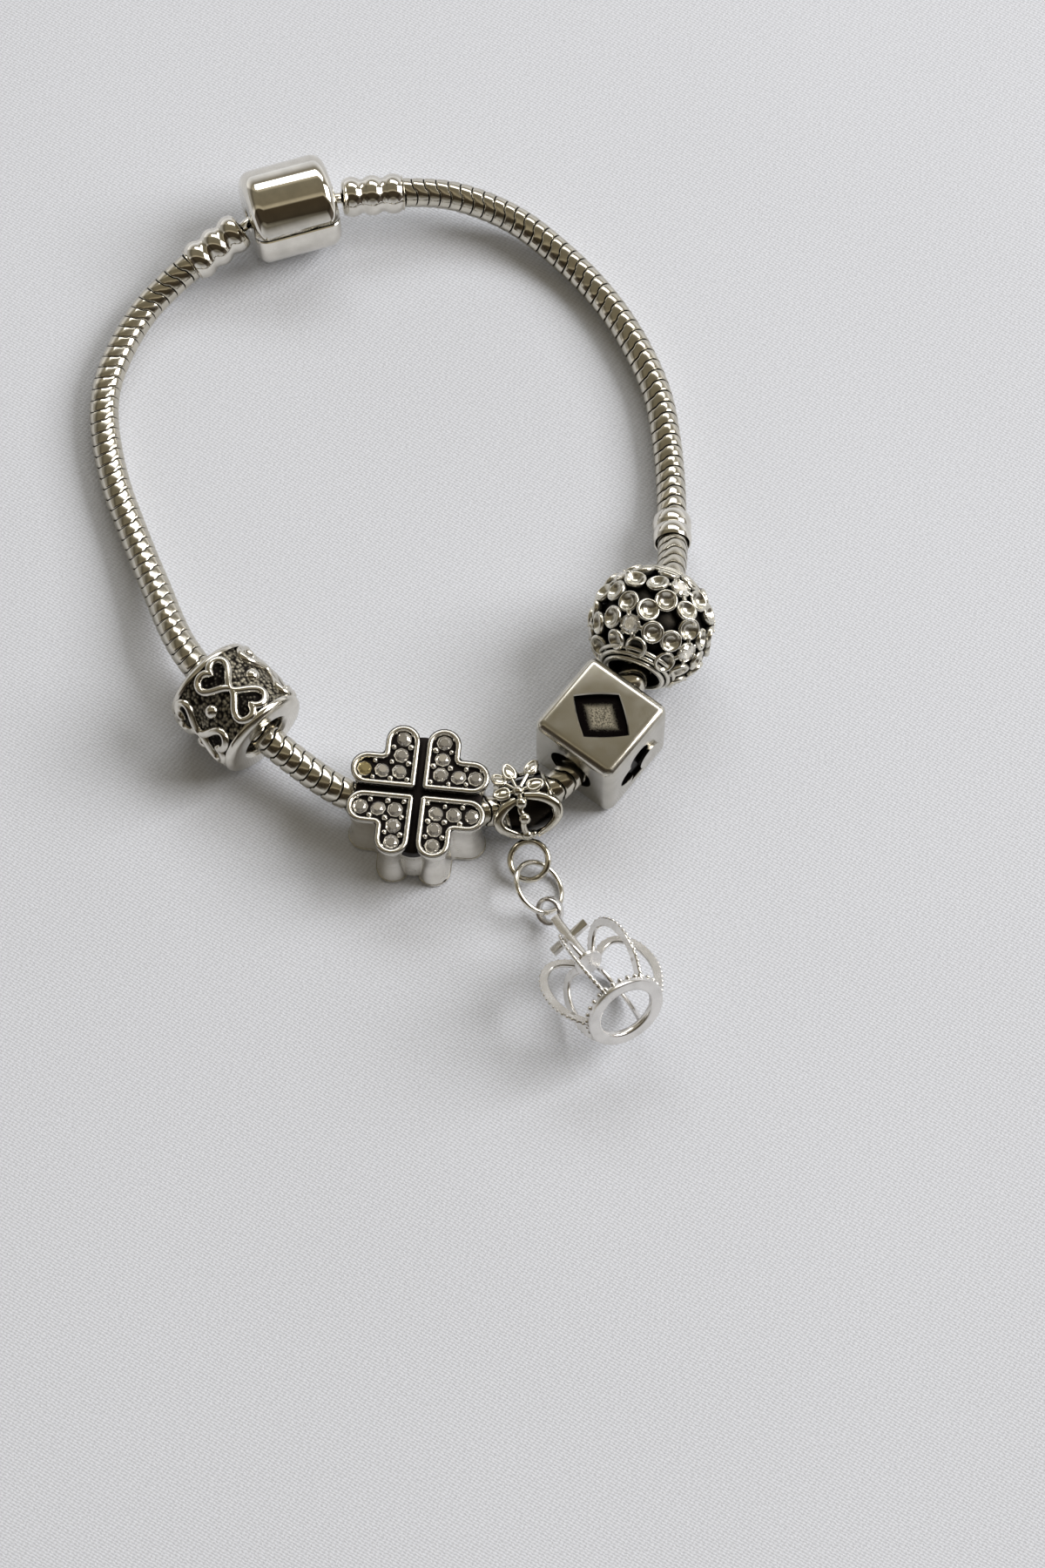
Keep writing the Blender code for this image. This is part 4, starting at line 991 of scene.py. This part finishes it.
def bail_point(round_from_top, length, lift=0.0):
    """A place on the bail's barrel: degrees round from its top, length along its axis in mm."""
    axis = level_axis(BAIL_TURN)
    aside = axis.cross(UP)
    angle = radians(round_from_top)
    out = UP * cos(angle) + aside * sin(angle)
    radius = (3.05 - 0.06 * length * length + lift) * MM
    return BAIL_AT + axis * length * MM + out * radius, out


def bail_wire(route, width, height, shape, steps=28, taper=None):
    path = smooth([bail_point(*step)[0] for step in route], max(2, steps // (len(route) - 1)))
    axis = level_axis(BAIL_TURN)
    ups = []
    for p in path:
        out = p - BAIL_AT
        ups.append((out - axis * out.dot(axis)).normalized())
    shape.add(*sweep(path, ups, full_section(width, height, 10), closed=False, scale=taper))


def knot(round_from_top, length, radius, shape, lift=0.0):
    at, out = bail_point(round_from_top, length, lift)
    shape.add(*ball(radius, 18, 12), Matrix.Translation(at) @ facing(out))


def bail_bead():
    metal = silver("bail_polish", (0.7, 0.665, 0.57), (0.07, 0.16), 0.5 * MM, OXIDE_AND_SHADE, (0.32, 0.72), 0.03)
    dark = silver("bail_inside", (0.016, 0.013, 0.01), (0.25, 0.4), 0.4 * MM, (0.006, 0.005, 0.004),
                  (0.4, 1.0), 0.0)
    shape = Shape()
    axis = level_axis(BAIL_TURN)
    liner = in_mm([(2.1, 2.3), (2.45, 2.3), (2.55, 0.0), (2.45, -2.3), (2.1, -2.3)])
    shape.add(*lathe(liner, 64), placed(BAIL_AT, axis), look=1)
    for side in (-1, 1):
        collar = circle(2.34 * MM, 64)
        place = placed(BAIL_AT + axis * side * 2.3 * MM, axis)
        shape.add(*sweep(collar, [UP] * 64, full_section(0.5 * MM, 0.5 * MM, 10)), place)
    hub_length = -0.65
    stem = [(0, hub_length, 0.2), (16, -0.7, 0.2), (28, -0.95, 0.1), (43, -0.75, 0.15), (58, -1.0, 0.1),
            (80, -0.8, 0.2), (92, -0.5, 0.2)]
    bail_wire(stem, 0.62 * MM, 0.55 * MM, shape, 42)
    for angle, length, size in ((16, -0.7, 0.6), (43, -0.75, 0.6), (80, -0.8, 0.52)):
        knot(angle, length, size * MM, shape, 0.22)
    left_arm = [(8, -1.1, 0.1), (18, -2.4, 0.2), (36, -3.2, 0.3), (56, -3.05, 0.3), (74, -2.0, 0.25),
                (92, -0.8, 0.2)]
    right_arm = [(4, -0.2, 0.1), (16, 1.5, 0.2), (36, 2.55, 0.3), (58, 2.45, 0.3), (76, 1.5, 0.25),
                 (92, 0.3, 0.2)]
    for arm in (left_arm, right_arm):
        bail_wire(arm, 1.05 * MM, 0.7 * MM, shape, 45,
                  lambda t: 0.66 + 0.34 * sin(pi * t ** 0.7) ** 0.7)
    seat, out = bail_point(-5, hub_length, 0.25)
    shape.add(*ball(0.58 * MM, 20, 14), Matrix.Translation(seat))
    leaves = [(-45, -0.85, 0.75, 1.75), (-42, 1.35, 0.75, 1.55), (-40, -2.0, 0.6, 1.5), (-8, 1.1, 0.35, 1.5),
              (-10, -2.2, 0.3, 1.45)]
    for angle, length, lift, long in leaves:
        bail_leaf(seat, out, angle, length, lift, long * MM, shape)
    for start in (120, 180, 240):
        for side in (-1, 1):
            back = [(start, 0.0, -0.05), (start + 20, 1.9 * side, 0.0), (start + 40, 1.9 * side, 0.0),
                    (start + 58, 0.0, -0.05)]
            bail_wire(back, 0.75 * MM, 0.5 * MM, shape)
        knot(start, 0.0, 0.45 * MM, shape, -0.2)
    shape.add(*ring(1.865 * MM, 0.62 * MM), placed(BAIL_RING_AT, BAIL_RING_FACES))
    piece("bail_openwork", shape, [metal, dark], "bail_bead", sharp=60)


def bail_leaf(seat, out, angle, length, lift, long, shape):
    """A small dished leaf that points away from the flower's middle."""
    at, up = bail_point(angle, length, lift)
    run = (at - seat).normalized()
    up = (up + out * 0.5 - run * (up + out * 0.5).dot(run)).normalized()
    turn = Matrix((run, up.cross(run), up)).transposed().to_4x4()
    turn.translation = at
    outline = [Vector((long / 2 * cos(a), 0.52 * MM * sin(a) * (1 - 0.25 * cos(a)), 0.0))
               for a in [tau * i / 32 for i in range(32)]]
    shape.add(*sweep(outline, [UP] * 32, full_section(0.42 * MM, 0.46 * MM, 8)), turn)
    pad = Matrix.Diagonal((long / 2, 0.52 * MM, 0.16 * MM, 1))
    shape.add(*dome(1.0, 1.0, 24, 4, 2.2), turn @ pad)
    stalk = [seat, (seat + at) / 2, at - run * long * 0.3]
    shape.add(*sweep(stalk, [up] * 3, full_section(0.4 * MM, 0.4 * MM, 8), closed=False))


def jump_ring():
    metal = silver("jump_polish", PALE_SILVER, (0.08, 0.15), 0.2 * MM, WARM_OXIDE_AND_SHADE, (0.15, 0.5), 0.05)
    shape = Shape().add(*ring(2.625 * MM, 0.55 * MM), placed(JUMP_AT, JUMP_FACES))
    piece("jump_ring_wire", shape, [metal], "jump_ring", sharp=60)


# Crown pendant

CROWN_LOOP_AT = Vector((14.95, -33.3, 1.75)) * MM
CROWN_BASE_AT = Vector((22.15, -45.8, 7.65)) * MM
CROWN_LOOP_FACES = Vector((-0.5, -0.5, 0.7))
CROWN_ROLL = radians(-22.0)
CROSS_ROLL = radians(21.0)
ARCH_LINE = [(3.4, 0.4), (4.05, 1.3), (4.6, 2.3), (5.05, 3.4), (5.28, 4.7), (5.25, 6.0), (5.0, 7.2),
             (4.35, 8.35), (3.4, 9.0), (2.4, 8.9), (1.5, 8.35), (0.9, 7.8)]
CROWN_ARCHES = 6
CROWN_GRAINS = 30  # milgrain beads round the base ring
ARCH_GRAIN_PITCH = 0.56 * MM
CROSS_FOOT = 8.1 * MM
CROSS_BAR = 11.5 * MM
CROSS_REACH = 2.15 * MM


def crown_pendant():
    metal = silver("crown_satin", (0.85, 0.83, 0.80), (0.17, 0.3), 0.35 * MM, (0.12, 0.09, 0.06), (0.25, 0.6),
                   0.05, 0.08)
    top = CROWN_LOOP_AT - CROWN_BASE_AT
    frame_turn = placed(CROWN_BASE_AT, top)
    shape = Shape()
    base = [(2.7, 0.18), (2.78, 0.05), (2.95, 0.0), (3.75, 0.0), (3.88, 0.06), (3.92, 0.2), (3.92, 0.5),
            (3.86, 0.66), (3.7, 0.76), (2.95, 0.78), (2.78, 0.72), (2.7, 0.58)]
    shape.add(*lathe(in_mm(base), 96), frame_turn)
    for i in range(CROWN_GRAINS):
        turn = turned(tau * i / CROWN_GRAINS)
        shape.add(*ball(0.27 * MM, 12, 8), frame_turn @ turn @ Matrix.Translation((3.85 * MM, 0, 0.74 * MM)))
    line = smooth([Vector((r, 0, h)) * MM for r, h in ARCH_LINE], 6)
    ups = []
    for i, p in enumerate(line):
        run = line[min(i + 1, len(line) - 1)] - line[max(i - 1, 0)]
        ups.append(Vector((run.z, 0, -run.x)).normalized())
    length = sum((b - a).length for a, b in zip(line, line[1:]))
    beads = int(length / ARCH_GRAIN_PITCH)
    stations = [length * (i + 0.5) / beads for i in range(beads)]
    band = strip_section(0.42 * MM, 0.84 * MM, 0.1 * MM)
    for k in range(CROWN_ARCHES):
        angle = CROWN_ROLL + pi / 2 + tau * k / CROWN_ARCHES
        turn = frame_turn @ turned(angle)
        shape.add(*sweep(line, ups, band, closed=False), turn)
        for p, station in zip(along(line, stations), stations):
            share = station / length * (len(line) - 1)
            up = ups[min(int(share), len(ups) - 1)]
            shape.add(*ball(0.21 * MM, 8, 6), turn @ Matrix.Translation(p + up * 0.33 * MM))
    shape.add(*ball(0.75 * MM, 24, 14), frame_turn @ Matrix.Translation((0, 0, CROSS_FOOT)))
    cup = [(0.2, 7.4), (1.35, 7.5), (1.42, 7.75), (1.2, 7.98), (0.4, 8.1)]
    shape.add(*lathe(in_mm(cup), 40), frame_turn)
    cross = frame_turn @ turned(-CROSS_ROLL)
    stem_end = top.length - 1.1 * MM
    stem = [Vector((0, 0, z)) for z in (CROSS_FOOT, 10 * MM, stem_end)]
    bar = [Vector((x, 0, CROSS_BAR)) for x in (-CROSS_REACH, 0, CROSS_REACH)]
    for path, height in ((stem, 0.6 * MM), (bar, 0.58 * MM)):
        band = strip_section(0.9 * MM, height, 0.08 * MM)
        shape.add(*sweep(path, [Vector((0, 1, 0))] * 3, band, closed=False), cross)
    loop = circle(1.2 * MM, 56)
    shape.add(*sweep(loop, [UP] * 56, strip_section(0.46 * MM, 0.8 * MM, 0.12 * MM)),
              placed(CROWN_LOOP_AT, CROWN_LOOP_FACES))
    piece("crown_openwork", shape, [metal], "crown_pendant", sharp=45)


# Cube bead

CUBE_HALF = 4.7 * MM
CUBE_AT = Vector((19.9, -16.15, 4.7)) * MM
CUBE_TURN = radians(52.0)
CUBE_BORE = 2.4 * MM
CUBE_BEVEL = 0.95 * MM
SUIT = 5.6 * MM


def bowed(corners, bow, steps=8):
    """A closed outline through corners whose sides swell outward."""
    points = []
    for i, a in enumerate(corners):
        b = corners[(i + 1) % len(corners)]
        run = b - a
        out = Vector((run.y, -run.x)).normalized()
        for k in range(steps):
            t = k / steps
            points.append(a + run * t + out * bow * sin(pi * t))
    return points


def frustum(outline, depth, flare):
    """A cutter below z = 0 with a chamfered mouth."""
    centre = sum(outline, Vector((0, 0))) / len(outline)
    rows = []
    for height, grow in ((0.3 * MM, flare * 2.5), (0.0, flare), (-flare, 0.0), (-depth, -0.03 * MM)):
        for p in outline:
            away = p - centre
            q = p + away.normalized() * grow
            rows.append((q.x, q.y, height))
    count = len(outline)
    faces = grid_faces(4, count)
    return rows, faces + [list(range(count)), list(range(3 * count, 4 * count))[::-1]]


def cube_bead():
    olive = silver("cube_polish", (0.63, 0.605, 0.54), (0.17, 0.26), 0.3 * MM, WARM_OXIDE_AND_SHADE, (0.15, 0.5),
                   0.04, 0.02)
    speck, tree, shader = new_material("cube_recess")
    space = texture_space(tree)
    fill(shader, {"Metallic": 1.0})
    parts = tree.nodes.new("ShaderNodeSeparateXYZ")
    tree.links.new(space, parts.inputs["Vector"])
    across = [maths(tree, "ABSOLUTE", parts.outputs[n], 0.0) for n in (0, 1)]
    far = maths(tree, "ADD", maths(tree, "DIVIDE", across[0], 2.0),
                maths(tree, "DIVIDE", across[1], 2.5))
    grit = noise_node(tree, space, 0.16, 3.0, 0.7)
    ragged = maths(tree, "MULTIPLY", maths(tree, "SUBTRACT", grit, 0.5), 0.9)
    edge = maths(tree, "ADD", far, ragged)
    # Only the top recess gets a paler speckled middle, fading raggedly to near black at its walls; the side
    # recesses stay near black
    high = remap(tree, parts.outputs[2], 3.9, 4.0)
    pale_share = maths(tree, "MULTIPLY", remap(tree, edge, 0.62, 0.92, 1.0, 0.0), high)
    speckle = maths(tree, "MULTIPLY", pale_share, remap(tree, grit, 0.42, 0.56, 0.25, 1.0))
    tree.links.new(mix_colour(tree, speckle, (0.004, 0.003, 0.003), (0.33, 0.30, 0.23)),
              shader.inputs["Base Color"])
    tree.links.new(remap(tree, grit, 0.3, 0.7, 0.3, 0.5), shader.inputs["Roughness"])
    tree.links.new(bump(tree, grit, 0.6, 0.06 * MM), shader.inputs["Normal"])
    matrix = Matrix.Translation(CUBE_AT) @ turned(CUBE_TURN)
    bm = bmesh.new()
    bmesh.ops.create_cube(bm, size=2 * CUBE_HALF)
    bmesh.ops.bevel(bm, geom=bm.edges[:], offset=CUBE_BEVEL, segments=8, profile=0.5, affect="EDGES",
                    clamp_overlap=True)
    mesh = bpy.data.meshes.new("cube_block")
    bm.to_mesh(mesh)
    bm.free()
    mesh.materials.append(olive)
    mesh.materials.append(speck)
    block = new_object("cube_block", mesh)
    lift = Matrix.Translation((0, 0, CUBE_HALF))
    diamond = bowed([Vector(p) * MM for p in ((0, -3.3), (2.75, 0), (0, 3.3), (-2.75, 0))], 0.14 * MM)
    tools = [solid("cut_bore", Shape().add(*tool_rod(CUBE_BORE, 8 * MM)))]
    tools.append(solid("cut_diamond", Shape().add(*frustum(diamond, 0.5 * MM, 0.12 * MM), lift)))
    sides = {"club": turned(pi / 2, "X"), "heart": turned(-pi / 2, "X")}
    for suit, turn in sides.items():
        for n, outline in enumerate(suit_outlines(suit)):
            cutter = Shape().add(*frustum(outline, 0.45 * MM, 0.06 * MM), turn @ lift)
            tools.append(solid(f"cut_{suit}_{n}", cutter))
    cut(block, tools)
    mesh = block.data
    for face in mesh.polygons:
        middle = face.center
        past = [max(abs(c) - (CUBE_HALF - CUBE_BEVEL), 0.0) for c in middle]
        deep = CUBE_BEVEL - Vector(past).length > 0.15 * MM
        beside_bore = hypot(middle.y, middle.z) < CUBE_BORE + 0.1 * MM and abs(middle.x) < CUBE_HALF
        face.material_index = 1 if deep and not beside_bore else 0
    soften(mesh, 28)
    block.matrix_world = matrix
    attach(block, ROOT)
    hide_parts("cube_bead")


def tool_rod(radius, half):
    """A closed rod along X."""
    points, faces = lathe([(radius, -half), (radius, half)], 56, closed=False)
    points = [(z, x, y) for x, y, z in points]
    return points, faces + [list(range(56)), list(range(56, 112))[::-1]]


def suit_outlines(suit):
    if suit == "heart":
        return [[Vector((x, y - SUIT / 2)) for x, y in heart_path(SUIT, SUIT, 40)][::-1]]
    stem = [Vector(p) * SUIT for p in ((-0.2, -0.5), (0.2, -0.5), (0.05, 0.05), (-0.05, 0.05))]
    lobes = [Vector(p) * SUIT for p in ((0.0, 0.24), (-0.25, -0.1), (0.25, -0.1))]
    round_lobes = [[Vector((p.x, p.y)) + at for p in circle(0.24 * SUIT, 32)] for at in lobes]
    return [stem] + round_lobes


# Flower ball

BALL_R = 6.25 * MM
BALL_CORE = 5.2 * MM
BALL_BORE = 2.4 * MM
BALL_AT = Vector((24.9, -5.5, 6.3)) * MM
BALL_TURN = radians(70.0)
BALL_ROLL = radians(3.0)
BALL_LATITUDE = radians(26.6)
BALL_PETALS = 6
BALL_FLOWERS = 5  # in each of two rows


def dished_petal(radius):
    """A round petal like a shallow spoon, with a soft raised rim."""
    shares = [(0.0, -0.47), (0.14, -0.46), (0.28, -0.43), (0.42, -0.36), (0.54, -0.24), (0.64, -0.11),
              (0.73, 0.0), (0.81, 0.07), (0.88, 0.08), (0.95, 0.03), (0.99, -0.08), (1.0, -0.22),
              (0.95, -0.42), (0.8, -0.7)]
    return lathe([(radius * r, z * MM) for r, z in shares], 32, closed=False)


def flower_ball():
    # Its wide shut-in reach paints shade into the petal cups and between the flowers, over the oxide in the
    # hollows
    bright = silver("ball_bright", (0.78, 0.75, 0.66), (0.15, 0.26), 1.1 * MM, OXIDE_AND_SHADE, (0.34, 0.84), 0.04)
    dark = silver("ball_core", (0.03, 0.027, 0.022), (0.4, 0.55), 0.8 * MM, (0.004, 0.004, 0.004),
                  (0.4, 1.0), 0.0, 0.3)
    matrix = placed(BALL_AT, level_axis(BALL_TURN), BALL_ROLL)
    core = [(BALL_BORE, 5.2 * MM), (BALL_BORE, -5.2 * MM)]
    for i in range(25):
        angle = radians(-54 + 108 * i / 24)
        core.append((BALL_CORE * cos(angle), BALL_CORE * sin(angle)))
    shape = Shape().add(*lathe(core, 96), look=1)
    for side in (-1, 1):
        for radius, height, thick in ((2.85, 5.1, 0.55), (3.35, 4.75, 0.5), (3.75, 4.35, 0.45)):
            path = circle(radius * MM, 72, height * side * MM)
            shape.add(*sweep(path, [Vector((0, 0, side))] * 72, full_section(thick * MM, thick * MM, 10)))
    arm = [Vector((sin(a), 0, cos(a))) * (BALL_R - 0.35 * MM) for a in (0.1, 0.17, 0.24)]
    arm_ups = [a.normalized() for a in arm]
    cup = [(0.35, -0.75), (0.62, -0.5), (0.86, -0.15), (0.98, -0.1), (1.05, -0.2), (1.05, -0.5), (0.9, -0.9)]
    gems, foils = Shape(), Shape()
    chance = random.Random(11)
    step = tau / BALL_FLOWERS
    for row in (-1, 1):
        for i in range(BALL_FLOWERS):
            around = turned((i + (0.5 if row > 0 else 0.0)) * step)
            flower = around @ turned(pi / 2 - row * BALL_LATITUDE, "Y")
            shift = chance.uniform(-0.15, 0.15)
            for k in range(BALL_PETALS):
                spin = turned(tau * (k + 0.5 + shift) / BALL_PETALS)
                lean = turned(chance.uniform(0.38, 0.4), "Y")
                tip = turned(chance.uniform(-0.25, 0.3), "Y") @ turned(chance.uniform(-0.2, 0.2), "X")
                place = flower @ spin @ lean @ Matrix.Translation((0, 0, BALL_R - 0.32 * MM)) @ tip
                shape.add(*dished_petal(chance.uniform(1.1, 1.18) * MM), place)
                stalk = [(0.5 * MM, -0.6 * MM), (0.6 * MM, -1.05 * MM)]
                shape.add(*lathe(stalk, 16, closed=False), place, look=1)
                shape.add(*sweep(arm, arm_ups, full_section(0.5 * MM, 0.3 * MM, 8), closed=False),
                          flower @ spin)
            seat = flower @ Matrix.Translation((0, 0, BALL_R - 0.14 * MM))
            shape.add(*lathe(in_mm(cup), 32, closed=False), seat)
            for k in range(4):
                claw = turned(pi / 2 * k + 0.4)
                claw = claw @ Matrix.Translation((0.92 * MM, 0, -0.12 * MM))
                shape.add(*dome(0.16 * MM, 0.2 * MM, 10, 4, 0.1 * MM), seat @ claw)
            spin = turned(chance.uniform(0, 0.7))
            gem = seat @ Matrix.Translation((0, 0, -0.22 * MM)) @ spin
            gems.add(*cut_stone(0.9 * MM, 0.3 * MM, 0.5 * MM), gem)
            foils.add(*lathe([(0.96 * MM, 0.0), (0.0, -0.54 * MM)], 8, closed=False), gem)
    piece("ball_flowers", shape, [bright, dark], "flower_ball", matrix=matrix, sharp=50)
    clear = glass("ball_stone", (0.99, 0.97, 0.92))
    foil = bright_foil("ball_foil")
    stones = piece("ball_stones", gems, [clear], matrix=matrix, sharp=5)
    stones.visible_shadow = False
    piece("ball_foils", foils, [foil], matrix=matrix, sharp=5)


camera()
room()
cloth_floor()
snake_chain()
caps()
clasp()
stopper_ring()
heart_bead()
clover_bead()
bail_bead()
jump_ring()
crown_pendant()
cube_bead()
flower_ball()
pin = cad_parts["clasp_hinge_pin"]
pin.data.materials.clear()
pin.data.materials.append(silver("pin_steel", (0.6, 0.6, 0.58), (0.2, 0.35)))

bpy.context.scene.view_settings.view_transform = "Standard"
bpy.context.view_layer.update()
